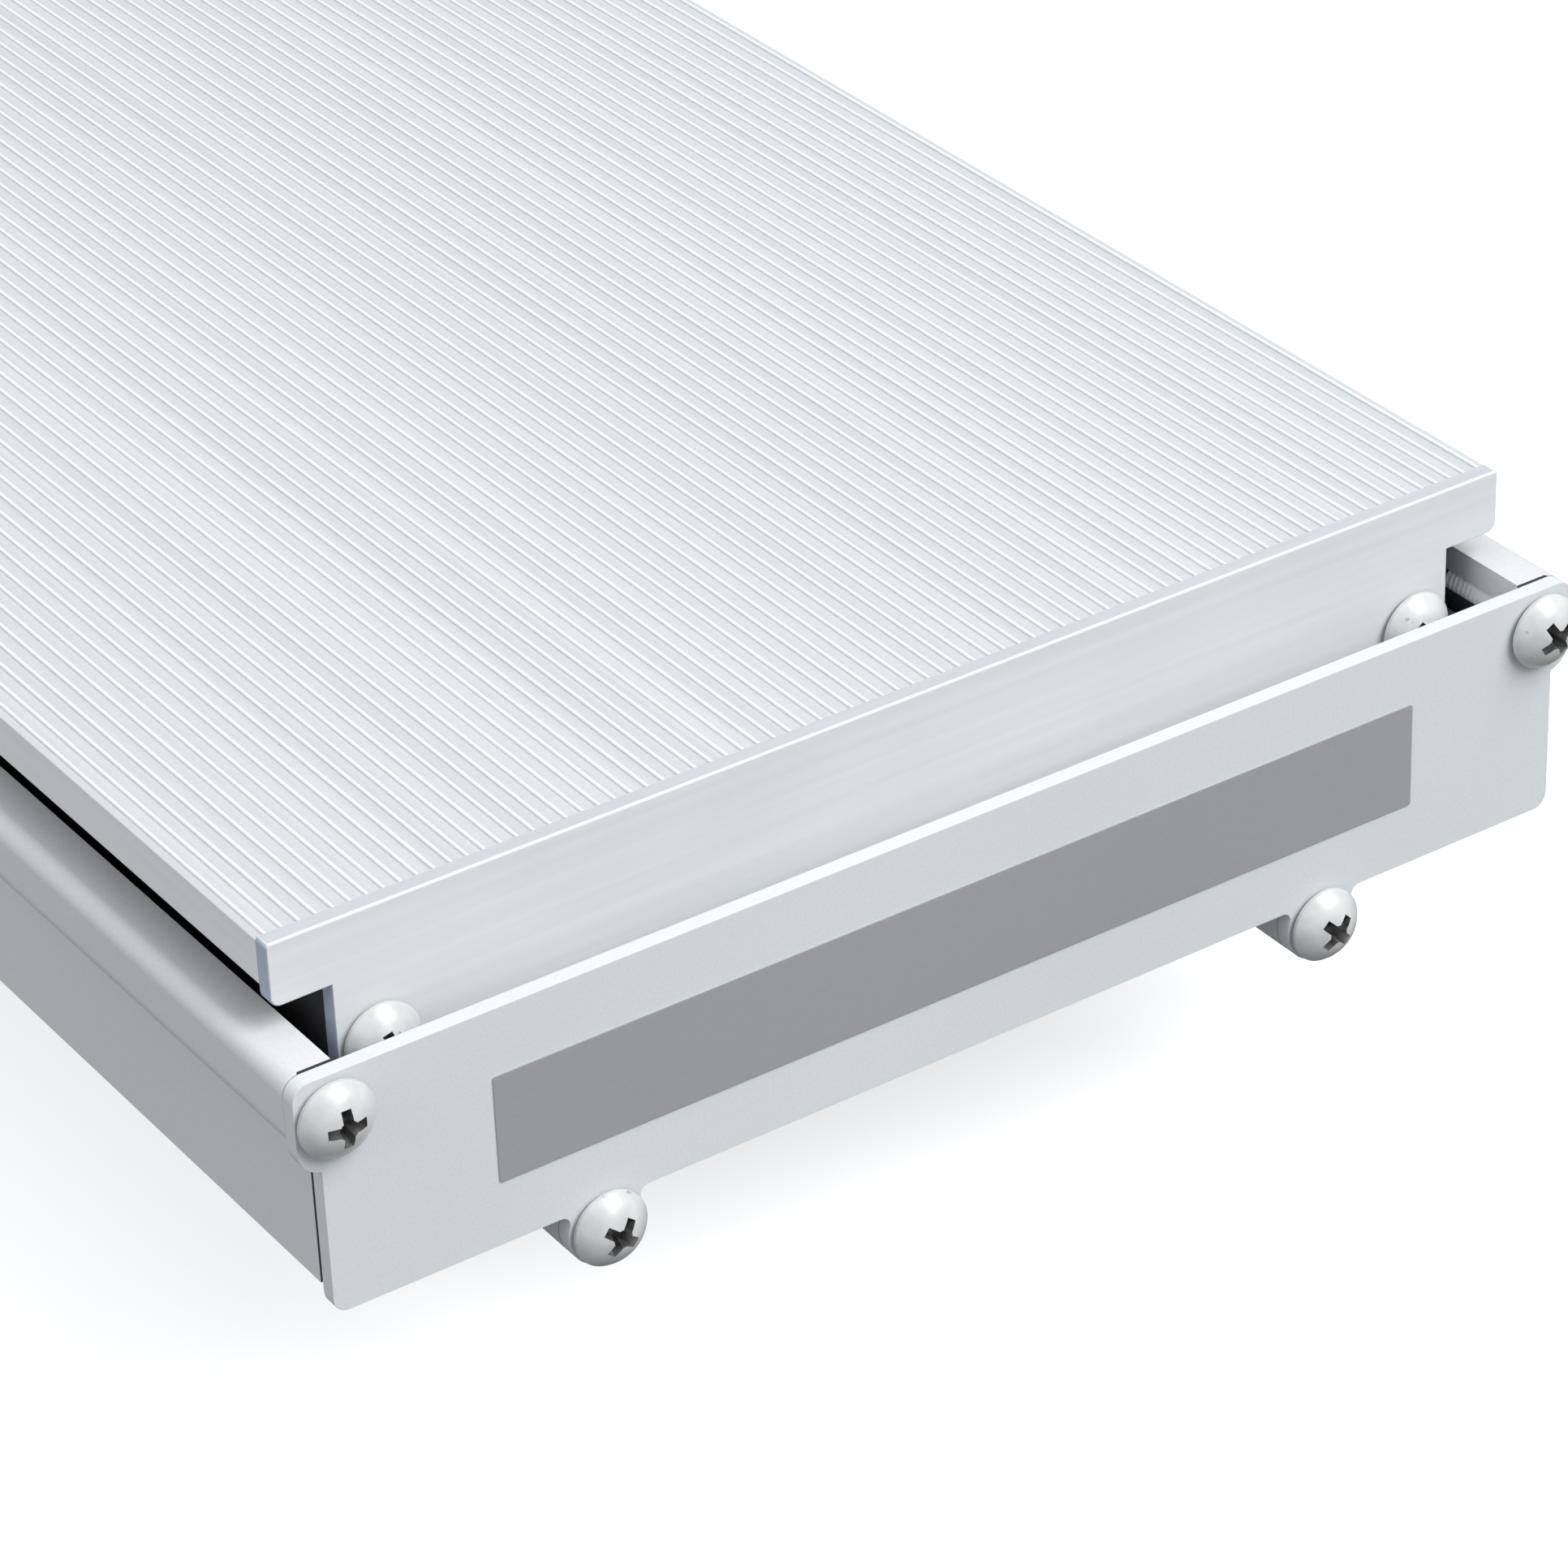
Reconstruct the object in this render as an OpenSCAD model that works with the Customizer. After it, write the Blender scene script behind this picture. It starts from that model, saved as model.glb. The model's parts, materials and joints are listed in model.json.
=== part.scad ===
// Infrared strip heater: a ribbed aluminium emitter cassette in an extruded
// aluminium casing, lying on its back on two tilting brackets.
// X runs along the heater, +Z is the heated face, Z = 0 is the face that the
// bracket feet rest on. Millimetres.

/* [Overall] */
// Length over the two casing end plates
total_l = 900; // [760:10:1400]
// Width of the ribbed emitter panel
emitter_w = 176; // [150:1:220]
// Number of ribs across the emitter
rib_count = 80; // [20:1:90]

/* [Casing] */
// Wall and floor thickness of the casing
casing_wall = 2; // [1.6:0.1:3]
// How far the casing's side walls stand outside the emitter's edges
casing_margin = 0.9; // [0.5:0.1:6]
// Height of the casing from its floor to the tops of its side rails
casing_h = 29; // [27:0.5:60]
// Height of a side rail
rail_h = 10.4; // [9.5:0.1:14]
// How far a side rail stands out of its side wall
rail_bulge = 2.9; // [1.5:0.1:5]
// How far a side rail stands inside its side wall
rail_inset = 1.7; // [1:0.1:3]
// Radius of the round screw rails under the floor
port_r = 5.2; // [4.5:0.1:8]
// Distance of each round screw rail from the middle
port_y = 52.7; // [40:0.1:60]
// Drop from the underside of the floor to the middle of a screw rail
port_drop = 6.3; // [5.6:0.1:10]

/* [Casing end plates] */
// Thickness of a casing end plate
plate_t = 2.2; // [1.5:0.1:4]
// How far an end plate hangs below the casing's floor
plate_skirt = 3; // [1:0.1:3.4]
// Corner radius at the foot of an end plate
plate_corner_r = 2; // [0.5:0.1:5]
// Height of the corner ears around the upper screws
ear_h = 12.4; // [11:0.1:16]
// Length of the blank name plate
label_w = 133; // [40:1:150]
// Height of the blank name plate
label_h = 14.5; // [6:0.1:18]

/* [Emitter] */
// Thickness of the emitter panel under its ribs
panel_t = 2.6; // [2:0.1:4]
// Height of a rib
rib_h = 0.3; // [0.3:0.05:1]
// Width of a rib
rib_w = 0.5; // [0.4:0.05:1.2]
// Height of the emitter's side flange
flange_h = 6.4; // [5:0.1:8]
// Thickness of the emitter's side flange
flange_t = 2.2; // [1.5:0.1:3.5]
// Height of the emitter's top above the casing's side rails
emitter_rise = 12; // [10:0.5:20]
// Overhang of the emitter's edge past the cassette's side wall
emitter_overhang = 7.8; // [6.8:0.1:12]
// Thickness of an emitter end plate
tee_t = 2.3; // [1.5:0.1:4]
// Depth of the wings of an emitter end plate
tee_wing_h = 8.5; // [8:0.1:10]
// Gap from a casing end plate's outer face in to the emitter end plate
end_recess = 10.2; // [7.5:0.1:16]

/* [Heating elements] */
// Diameter of the sheathed heating element
element_d = 8.5; // [6.5:0.1:9.5]
// Distance of an element's middle from the heater's middle
element_y = 42; // [40:0.5:44]
// Half the spacing of an element's two legs
element_leg = 18; // [16:0.5:20]
// Length of the terminal bay at the rear end
bay_l = 108; // [100:1:130]

/* [Fasteners and cable entry] */
// Diameter of the end screws
screw_d = 5; // [4:0.1:5.4]
// Head diameter of the end screws
screw_head_d = 10; // [8:0.1:10.4]
// Head height of the end screws
screw_head_h = 3.7; // [2.5:0.1:4.5]
// Length of an end screw under its head
screw_l = 16; // [10:1:25]
// Thread diameter of the cable gland
gland_d = 20; // [16:1:25]

/* [Brackets] */
// Distance of each bracket from the middle of the heater
bracket_x = 250; // [180:5:260]
// Length of a saddle along the heater
saddle_l = 40; // [34:1:60]
// Thickness of the bracket plates
bracket_t = 3; // [2.5:0.1:4]
// Diameter of the pivot bolt
pivot_d = 8; // [6:0.5:8]
// Height of the pivot above the upper face of the foot plate
pivot_h = 13; // [13:0.5:25]
// Drop from the saddle plate to the pivot
pivot_drop = 10; // [10:0.5:25]
// Length of a foot plate along the heater
foot_l = 90; // [84:1:120]
// Width of a foot plate
foot_w = 50; // [44:1:50]
// Hole spacing of a foot plate along the heater
foot_hole_x = 72; // [66:1:76]
// Hole spacing of a foot plate across the heater
foot_hole_y = 30; // [24:1:32]
// Diameter of the mounting holes
foot_hole_d = 6.5; // [5:0.1:8]

/* [Hidden] */
$fn = 48;

// clearances
eps = 0.01;
screw_play = 0.05;      // radial play of a screw in its thread's hole
hole_play = 0.25;       // radial play of a screw in a clearance hole
pivot_play = 0.08;      // radial running play of the feet on the pivot bolts
slide_gap = 0.3;        // running gap between a saddle and the screw rails
side_gap = 0.3;         // gap between a saddle's ear and a foot's lug
seat_gap = 0.1;         // gap around parts that drop into a seat

// heights
pivot_z = bracket_t + pivot_h;
saddle_z = pivot_z + pivot_drop;                    // underside of a saddle plate
port_z = saddle_z + bracket_t + slide_gap + port_r; // middle of the screw rails
floor_z = port_z + port_drop;                       // underside of the casing
deck_z = floor_z + casing_wall;                     // inner face of the casing's floor
rail_top = floor_z + casing_h;
top_z = rail_top + emitter_rise;                    // tops of the emitter's ribs
rail_z = rail_top - 5.5;                            // middle of the corner screws
label_drop = 8.9;                                   // from an end plate's top to the name plate
label_t = 0.15;

// widths, from the middle
half_emitter = emitter_w / 2;
wall_y = half_emitter + casing_margin;              // outer face of a side wall
rail_y = wall_y + rail_bulge;                       // outer face of a side rail
rail_in_y = wall_y - casing_wall - rail_inset;      // inner face of a side rail
rail_screw_y = rail_y - 4.9;                        // middle of the corner screws
box_y = half_emitter - emitter_overhang;            // outer face of the cassette's walls
box_wall = 2.2;
box_in_y = box_y - box_wall;

// lengths, from the middle
plate_x = total_l / 2;                              // outer face of a casing end plate
casing_l = total_l - 2 * plate_t;
tee_x = plate_x - end_recess;                       // outer face of an emitter end plate
panel_l = 2 * (tee_x - tee_t);

// emitter cassette
valley_z = top_z - rib_h;
panel_z = valley_z - panel_t;                       // underside of the emitter panel
rib_margin = 1.3;                                   // emitter's edge to the first rib's middle
rib_pitch = (emitter_w - 2 * rib_margin) / (rib_count - 1);
box_h = casing_h + emitter_rise - casing_wall - 4;  // emitter's top to the cassette's foot
box_z = top_z - box_h;
lip_t = 1.5;
lip_y = box_y - 7.2;
pan_t = 1;
pan_z = box_z + lip_t;
tee_h = box_h - 1;                                  // depth of an emitter end plate
tee_screw_y = box_in_y - 3.2;
tee_screw_z = top_z - 17.6;
tee_port_r = 3.9;
tee_corner_r = 1.4;                                 // lower corners of its wings
tee_top_r = 0.6;

// heating elements
element_z = panel_z - 0.05 - element_d / 2;
groove_w = element_d + 0.1;
groove_rim = 3;
groove_h = element_d + 1.4;                         // depth of a groove below the panel
retainer_t = 1.2;
bend_end_gap = 13;
bay_x = -panel_l / 2 + bay_l;                       // front of the terminal bay
leg_x = panel_l / 2 - bend_end_gap - element_leg - element_d / 2;
bush_l = 6;
pin_d = 4;
pin_out = 22;
pin_tip_x = bay_x - pin_out;
pin_nut_h = 3.2;
pin_nut_flat = element_d - 1.5;                     // clear of the panel above it
element_legs = [-element_y - element_leg, -element_y + element_leg,
                element_y - element_leg, element_y + element_leg];

// insulation
board_top = panel_z - groove_h - 0.3;
board_shoulder_z = tee_screw_z - tee_port_r - 0.8;
board_y = tee_screw_y - tee_port_r - 0.7;

// cradles under the cassette
cradle_l = 20;
cradle_t = 1.5;
cradle_pitch = (panel_l - bay_l) / 2 - 60;
cradle_mid = bay_l / 2;
cradle_xs = [cradle_mid + cradle_pitch, cradle_mid, cradle_mid - cradle_pitch];
shelf_y = box_y - 9;
floor_screw_y = shelf_y - 4.3;
side_screw_z = box_z + 9;
small_screw_d = 4;
small_head_d = 8;
small_head_h = 2.4;

// terminal bay
block_x = bay_x - 47;
block_l = 24;
block_w = 34;
block_base_h = 4;
block_h = 17;
pole_w = 9;
pole_pitch = 11;
barrel_d = 6;
barrel_bore = 3.8;
block_screw_d = 3;
block_screw_y = block_w / 2 - 3;
clamp_screw_reach = 6;                              // barrel's middle to its clamp screws
barrel_z = deck_z + block_base_h + 4.5;
lead_d = 3.2;
earth_x = bay_x - 40;
earth_y = 42;
earth_d = 5;
gland_x = -plate_x + 40;
gland_flat = gland_d * 1.2;                         // width across the gland's flats
gland_hex_d = gland_flat / cos(30);
gland_bore = gland_d * 0.5;

// brackets
claw_t = 2;
claw_in = 1.6;                                      // how far a claw reaches over its rail
ear_x = saddle_l / 2;                               // outer face of a saddle's ear
ear_r = 9;
lug_x = ear_x - bracket_t - side_gap;               // outer face of a foot's lug
washer_t = 1.6;
washer_d = 16;
bolt_head_h = 5.3;
bolt_flat = 13;
clamp_d = 6;
clamp_y = 40;
clamp_flat = 10;

// ---- helpers ----

// draws a YZ outline's copy on both sides of the middle
module both_sides() { children(); mirror([1, 0, 0]) children(); }

// extrudes a YZ outline along X, from x0, for a length
module along_x(x0, length) {
    translate([x0, 0, 0]) rotate([90, 0, 90]) linear_extrude(length) children();
}

// box from its low corner to its high corner
module span(lo, hi) { translate(lo) cube(hi - lo); }

// round bar along X between two x values
module bar_x(x0, x1, y, z, r) {
    translate([x0, y, z]) rotate([0, 90, 0]) cylinder(r = r, h = x1 - x0);
}

// hexagonal bar along X
module hex_x(x0, x1, y, z, flat) {
    translate([x0, y, z]) rotate([0, 90, 0]) cylinder(d = flat / cos(30), h = x1 - x0, $fn = 6);
}

// rectangle from (y0, z0) to (y1, z1)
module rect(y0, z0, y1, z1) { translate([y0, z0]) square([y1 - y0, z1 - z0]); }

// rectangle whose outer corners, at the larger y, have the radii r_low and r_high
module rounded_outer(y0, z0, y1, z1, r_low, r_high) {
    rect(y0, z0, y1 - max(r_low, r_high), z1);
    rect(y0, z0 + r_low, y1, z1 - r_high);
    rect(y0, z0, y1 - r_low, z0 + r_low + eps);
    rect(y0, z1 - r_high - eps, y1 - r_high, z1);
    translate([y1 - r_low, z0 + r_low]) circle(r_low);
    translate([y1 - r_high, z1 - r_high]) circle(r_high);
}

// pan-head screw that points along -X, its head's seat at x = 0
module pan_screw(d, head_d, head_h, length) {
    rim = head_h * 0.25;
    dome_r = (pow(head_d / 2, 2) + pow(head_h - rim, 2)) / (2 * (head_h - rim));
    rotate([0, 90, 0]) difference() {
        union() {
            translate([0, 0, -length]) cylinder(d = d, h = length + eps);
            cylinder(d = head_d, h = rim);
            intersection() {
                translate([0, 0, rim - eps]) cylinder(d = head_d, h = head_h - rim + eps);
                translate([0, 0, head_h - dome_r]) sphere(dome_r);
            }
        }
        // cross recess
        for (turn = [0, 90])
            rotate([0, 0, turn])
                translate([-head_d * 0.28, -head_d * 0.055, head_h * 0.45])
                    cube([head_d * 0.56, head_d * 0.11, head_h]);
    }
}

// an end screw at both ends of the heater and on both sides
module end_screws(seat_x, y, z) {
    for (end = [1, -1], side = [1, -1])
        at_end(end) translate([seat_x, side * y, z])
            pan_screw(screw_d, screw_head_d, screw_head_h, screw_l);
}

// keeps the front end as it is, or turns it round to the rear end
module at_end(end) { mirror([end > 0 ? 0 : 1, 0, 0]) children(); }

// unit vector
function unit(v) = v / norm(v);

// a point of the smooth curve through a list of points, at i + t
function curve_point(p, i, t) =
    let (n = len(p),
         a = i > 0 ? p[i - 1] : 2 * p[0] - p[1],
         b = p[i], c = p[i + 1],
         d = i + 2 < n ? p[i + 2] : 2 * p[n - 1] - p[n - 2])
    0.5 * (2 * b + (c - a) * t + (2 * a - 5 * b + 4 * c - d) * t * t
           + (3 * b - a - 3 * c + d) * t * t * t);

// the smooth curve through a list of points, as a longer list
function smooth(p, steps) =
    [for (i = [0 : len(p) - 2], s = [0 : steps - 1]) curve_point(p, i, s / steps),
     p[len(p) - 1]];

// round tube swept along a smooth curve through the points
module lead(points, d) {
    sides = 8;
    path = smooth(points, 4);
    last = len(path) - 1;
    rings = [for (i = [0 : last])
        let (t = unit(path[min(i + 1, last)] - path[max(i - 1, 0)]),
             u = unit(cross(t, [0.31, 0.12, 0.94])),
             v = cross(t, u))
        for (k = [0 : sides - 1])
            path[i] + d / 2 * (cos(360 * k / sides) * u + sin(360 * k / sides) * v)];
    skin = [for (i = [0 : last - 1], k = [0 : sides - 1])
        let (a = i * sides + k, b = i * sides + (k + 1) % sides)
        each [[a, b, b + sides], [a, b + sides, a + sides]]];
    caps = [[for (k = [sides - 1 : -1 : 0]) k], [for (k = [0 : sides - 1]) last * sides + k]];
    polyhedron(points = rings, faces = concat(skin, caps));
}

// ---- casing ----

// outline of the casing's extrusion, one half
module casing_half_outline() {
    rect(0, floor_z, wall_y, deck_z);
    rect(wall_y - casing_wall, floor_z, wall_y, rail_top);
    rounded_outer(rail_in_y, rail_top - rail_h, rail_y, rail_top,
                  rail_bulge + 0.9, rail_bulge - 0.6);
    translate([port_y, port_z]) circle(port_r);
    rect(port_y - port_r / 2, port_z, port_y + port_r / 2, floor_z + eps);
}

module casing() {
    color("gainsboro") difference() {
        along_x(-casing_l / 2, casing_l) both_sides() difference() {
            casing_half_outline();
            translate([rail_screw_y, rail_z]) circle(screw_d / 2 + screw_play);
            translate([port_y, port_z]) circle(screw_d / 2 + screw_play);
        }
        for (x = cradle_xs, side = [1, -1])
            translate([x, side * floor_screw_y, floor_z - 1])
                cylinder(r = small_screw_d / 2 + hole_play, h = casing_wall + 2);
        translate([gland_x, 0, floor_z - 1])
            cylinder(r = gland_d / 2 + hole_play, h = casing_wall + 2);
        for (side = [1, -1])
            translate([block_x, side * block_screw_y, floor_z - 1])
                cylinder(r = block_screw_d / 2 + hole_play, h = casing_wall + 2);
        translate([earth_x, earth_y, floor_z - 1])
            cylinder(r = earth_d / 2 + screw_play, h = casing_wall + 2);
    }
}

// outline of a casing end plate, one half
module end_plate_half_outline() {
    plate_z = floor_z - plate_skirt;
    rounded_outer(0, plate_z, wall_y, rail_top, plate_corner_r, 0.5);
    rounded_outer(rail_in_y - 8, rail_top - ear_h, rail_y, rail_top,
                  rail_bulge + 0.9, rail_bulge - 0.6);
    translate([port_y, port_z]) circle(port_r);
    port_flare();
}

// small fillets where a screw rail's lobe meets the foot of the plate
module port_flare() {
    plate_z = floor_z - plate_skirt;
    fillet_r = 1.2;
    rise = plate_z - fillet_r - port_z;
    reach = sqrt(pow(port_r + fillet_r, 2) - pow(rise, 2));
    difference() {
        rect(port_y - reach, port_z + rise * port_r / (port_r + fillet_r),
             port_y + reach, plate_z + eps);
        for (side = [1, -1])
            translate([port_y + side * reach, plate_z - fillet_r]) circle(fillet_r);
    }
}

module casing_end_plate() {
    along_x(plate_x - plate_t, plate_t) both_sides() difference() {
        end_plate_half_outline();
        translate([rail_screw_y, rail_z]) circle(screw_d / 2 + hole_play);
        translate([port_y, port_z]) circle(screw_d / 2 + hole_play);
    }
}

module casing_end_plate_front() { color("lightgray") casing_end_plate(); }
module casing_end_plate_rear() { color("lightgray") at_end(-1) casing_end_plate(); }
module corner_screws() { color("whitesmoke") end_screws(plate_x, rail_screw_y, rail_z); }
module rail_screws() { color("whitesmoke") end_screws(plate_x, port_y, port_z); }

module name_plate() {
    label_z = rail_top - label_drop - label_h;
    color("gray") span([plate_x, -label_w / 2, label_z],
                       [plate_x + label_t, label_w / 2, label_z + label_h]);
}

// ---- emitter cassette ----

// outline of the emitter's extrusion without its ribs, one half
module emitter_half_outline() {
    rect(0, panel_z, half_emitter, valley_z);
    rect(half_emitter - flange_t, top_z - flange_h, half_emitter, valley_z);
    rect(box_in_y, box_z, box_y, valley_z);
    rect(lip_y, box_z, box_y, box_z + lip_t);
    translate([tee_screw_y, tee_screw_z]) circle(tee_port_r);
    rect(tee_screw_y, tee_screw_z - 2.5, box_y, tee_screw_z + 2.5);
    for (side = [1, -1])
        translate([element_y + side * element_leg, 0])
            rect(-groove_w / 2 - groove_rim, panel_z - groove_h,
                 groove_w / 2 + groove_rim, panel_z + eps);
}

// the round-bottomed groove that an element's leg lies in
module groove_outline() {
    translate([0, element_z]) circle(groove_w / 2);
    rect(-groove_w / 2, panel_z - groove_h - 1, groove_w / 2, element_z);
}

module emitter_panel() {
    milled_y = element_leg + groove_w / 2 + groove_rim + 1;
    color("whitesmoke") difference() {
        union() {
            along_x(-panel_l / 2, panel_l) both_sides() difference() {
                emitter_half_outline();
                translate([tee_screw_y, tee_screw_z]) circle(screw_d / 2 + screw_play);
                for (side = [1, -1])
                    translate([element_y + side * element_leg, 0]) groove_outline();
            }
            for (i = [0 : rib_count - 1])
                span([-panel_l / 2, -half_emitter + rib_margin + i * rib_pitch - rib_w / 2,
                      valley_z - 0.2],
                     [panel_l / 2, -half_emitter + rib_margin + i * rib_pitch + rib_w / 2,
                      top_z]);
        }
        // the grooves are milled away round the bends and in the terminal bay
        for (side = [1, -1]) {
            span([leg_x - 2, side * element_y - milled_y, panel_z - groove_h - 1],
                 [panel_l / 2 + 1, side * element_y + milled_y, panel_z]);
            span([-panel_l / 2 - 1, side * element_y - milled_y, panel_z - groove_h - 1],
                 [bay_x + 2, side * element_y + milled_y, panel_z]);
        }
        for (x = cradle_xs, side = [1, -1])
            translate([x, side * (box_y + 1), side_screw_z]) rotate([side * 90, 0, 0])
                cylinder(r = small_screw_d / 2 + screw_play, h = box_wall + 2);
    }
}

module emitter_end_plate() {
    along_x(tee_x - tee_t, tee_t) both_sides() difference() {
        union() {
            rounded_outer(0, top_z - tee_wing_h, half_emitter, top_z, tee_corner_r, tee_top_r);
            rect(0, top_z - tee_h, box_y, top_z - 1);
        }
        translate([tee_screw_y, tee_screw_z]) circle(screw_d / 2 + hole_play);
    }
}

module emitter_end_plate_front() { color("silver") emitter_end_plate(); }
module emitter_end_plate_rear() { color("silver") at_end(-1) emitter_end_plate(); }
module emitter_end_screws() { color("whitesmoke") end_screws(tee_x, tee_screw_y, tee_screw_z); }

// hairpin element: two legs and a bend, its terminal ends at the bay
module heating_element(side) {
    color("dimgray") translate([0, side * element_y, 0]) difference() {
        union() {
            for (leg = [1, -1])
                bar_x(bay_x, leg_x + eps, leg * element_leg, element_z, element_d / 2);
            translate([leg_x, 0, element_z]) rotate([0, 0, -90]) rotate_extrude(angle = 180)
                translate([element_leg, 0]) circle(d = element_d);
        }
        for (leg = [1, -1])
            bar_x(bay_x - 1, bay_x + 15, leg * element_leg, element_z, pin_d / 2 + screw_play);
    }
}

module heating_element_left() { heating_element(-1); }
module heating_element_right() { heating_element(1); }

module element_retainers() {
    seat_z = element_z - element_d / 2 - 0.05;
    color("silver") for (y = element_legs)
        span([bay_x + 10, y - element_d / 2, seat_z - retainer_t],
             [leg_x - 6, y + element_d / 2, seat_z]);
}

module element_bushes() {
    color("ivory") for (y = element_legs) difference() {
        bar_x(bay_x - bush_l, bay_x, y, element_z, element_d / 2 - 0.4);
        bar_x(bay_x - bush_l - 1, bay_x + 1, y, element_z, pin_d / 2 + screw_play);
    }
}

module terminal_pins() {
    color("silver") for (y = element_legs) bar_x(pin_tip_x, bay_x + 14, y, element_z, pin_d / 2);
}

module terminal_nuts() {
    color("goldenrod") for (y = element_legs) difference() {
        hex_x(bay_x - bush_l - pin_nut_h, bay_x - bush_l, y, element_z, pin_nut_flat);
        bar_x(bay_x - bush_l - pin_nut_h - 1, bay_x, y, element_z, pin_d / 2 + screw_play);
    }
}

module insulation_board() {
    color("khaki") {
        span([bay_x + 4, -board_y, board_shoulder_z],
             [panel_l / 2 - 0.5, board_y, board_top]);
        span([bay_x + 4, -box_in_y + 0.5, pan_z + pan_t + seat_gap],
             [panel_l / 2 - 0.5, box_in_y - 0.5, board_shoulder_z + eps]);
    }
}

module reflector_pan() {
    color("silver") span([bay_x + 2, -box_in_y + 0.3, pan_z],
                         [panel_l / 2 - 0.5, box_in_y - 0.3, pan_z + pan_t]);
}

// ---- cradles that hold the cassette in the casing ----

module cradle_half_outline() {
    shelf_top = box_z - seat_gap;
    side_y = box_y + 0.15;
    rect(0, deck_z, shelf_y + cradle_t, deck_z + cradle_t);
    rect(shelf_y, deck_z, shelf_y + cradle_t, shelf_top);
    rect(shelf_y, shelf_top - cradle_t, side_y + cradle_t, shelf_top);
    rect(side_y, shelf_top - cradle_t, side_y + cradle_t, side_screw_z + 5);
}

module cradle(x) {
    color("silver") difference() {
        along_x(x - cradle_l / 2, cradle_l) both_sides() cradle_half_outline();
        for (side = [1, -1]) {
            translate([x, side * floor_screw_y, deck_z - 1])
                cylinder(r = small_screw_d / 2 + screw_play, h = cradle_t + 2);
            translate([x, side * (box_y + 5), side_screw_z]) rotate([side * 90, 0, 0])
                cylinder(r = small_screw_d / 2 + hole_play, h = 6);
        }
    }
}

module cradle_front() { cradle(cradle_xs[0]); }
module cradle_middle() { cradle(cradle_xs[1]); }
module cradle_rear() { cradle(cradle_xs[2]); }

module cradle_floor_screws() {
    color("silver") for (x = cradle_xs, side = [1, -1])
        translate([x, side * floor_screw_y, floor_z]) rotate([0, 90, 0])
            pan_screw(small_screw_d, small_head_d, small_head_h, casing_wall + cradle_t);
}

module cradle_side_screws() {
    seat_y = box_y + 0.15 + cradle_t;
    color("silver") for (x = cradle_xs, side = [1, -1])
        translate([x, side * seat_y, side_screw_z]) rotate([0, 0, side * 90])
            pan_screw(small_screw_d, small_head_d, small_head_h, seat_y - box_in_y - 0.1);
}

// ---- terminal bay ----

pole_ys = [-pole_pitch, 0, pole_pitch];

module terminal_block() {
    color("ivory") difference() {
        union() {
            span([block_x - 5, -block_w / 2 - 1, deck_z],
                 [block_x + 5, block_w / 2 + 1, deck_z + block_base_h]);
            span([block_x - block_l / 2, -pole_pitch - pole_w / 2, deck_z],
                 [block_x + block_l / 2, pole_pitch + pole_w / 2, deck_z + block_base_h]);
            for (y = pole_ys)
                span([block_x - block_l / 2, y - pole_w / 2, deck_z],
                     [block_x + block_l / 2, y + pole_w / 2, deck_z + block_h]);
        }
        for (y = pole_ys) {
            bar_x(block_x - block_l / 2 - 1, block_x + block_l / 2 + 1, y, barrel_z,
                  barrel_d / 2 + screw_play);
            for (end = [1, -1])
                translate([block_x + end * clamp_screw_reach, y, barrel_z])
                    cylinder(d = 4.4, h = block_h);
        }
        for (side = [1, -1])
            translate([block_x, side * block_screw_y, deck_z - 1])
                cylinder(r = block_screw_d / 2 + screw_play, h = block_base_h + 2);
    }
}

module terminal_barrels() {
    color("goldenrod") for (y = pole_ys) difference() {
        bar_x(block_x - 10, block_x + 10, y, barrel_z, barrel_d / 2);
        bar_x(block_x - 11, block_x + 11, y, barrel_z, barrel_bore / 2);
        for (end = [1, -1])
            translate([block_x + end * clamp_screw_reach, y, barrel_z])
                cylinder(r = block_screw_d / 2 + screw_play, h = barrel_d);
    }
}

module terminal_clamp_screws() {
    color("goldenrod") for (y = pole_ys, end = [1, -1])
        translate([block_x + end * clamp_screw_reach, y, barrel_z + barrel_bore / 2 + 0.1])
        difference() {
            union() {
                cylinder(d = block_screw_d, h = 5);
                translate([0, 0, 3]) cylinder(d = 4, h = 3);
            }
            translate([-2, -0.4, 4.8]) cube([4, 0.8, 2]);
        }
}

module terminal_block_screws() {
    color("silver") for (side = [1, -1])
        translate([block_x, side * block_screw_y, floor_z]) rotate([0, 90, 0])
            pan_screw(block_screw_d, 5.6, 2.2, casing_wall + block_base_h);
}

// routes of the leads inside the terminal bay, as points chosen by hand
pin_end = [pin_tip_x, 0, element_z];
pole_end = [block_x + 9, 0, barrel_z];
line_route = [pin_end + [-0.2, element_legs[0], 0], pin_end + [-6, element_legs[0], -1],
              pin_end + [-9, element_legs[0] + 6, -8], pin_end + [-1, -38, -16],
              pole_end + [16, -pole_pitch - 3, 3], pole_end + [9, -pole_pitch, 0],
              pole_end + [0, -pole_pitch, 0]];
link_route = [pin_end + [-0.2, element_legs[1], 0], pin_end + [-7, element_legs[1], 0],
              pin_end + [-13, element_legs[1] + 7, -1], pin_end + [-15, 0, -2],
              pin_end + [-13, element_legs[2] - 7, -1], pin_end + [-7, element_legs[2], 0],
              pin_end + [-0.2, element_legs[2], 0]];
neutral_route = [for (p = line_route) [p[0], -p[1], p[2]]];
earth_route = [pole_end, pole_end + [8, 0, 0], pole_end + [14, 5, -2],
               [pole_end[0] + 17, 20, deck_z + 5], [earth_x + 17, earth_y - 10, deck_z + 5],
               [earth_x + 13, earth_y - 2, deck_z + 5], [earth_x + 9, earth_y, deck_z + 5],
               [earth_x + 5.3, earth_y, deck_z + 5]];

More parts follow.
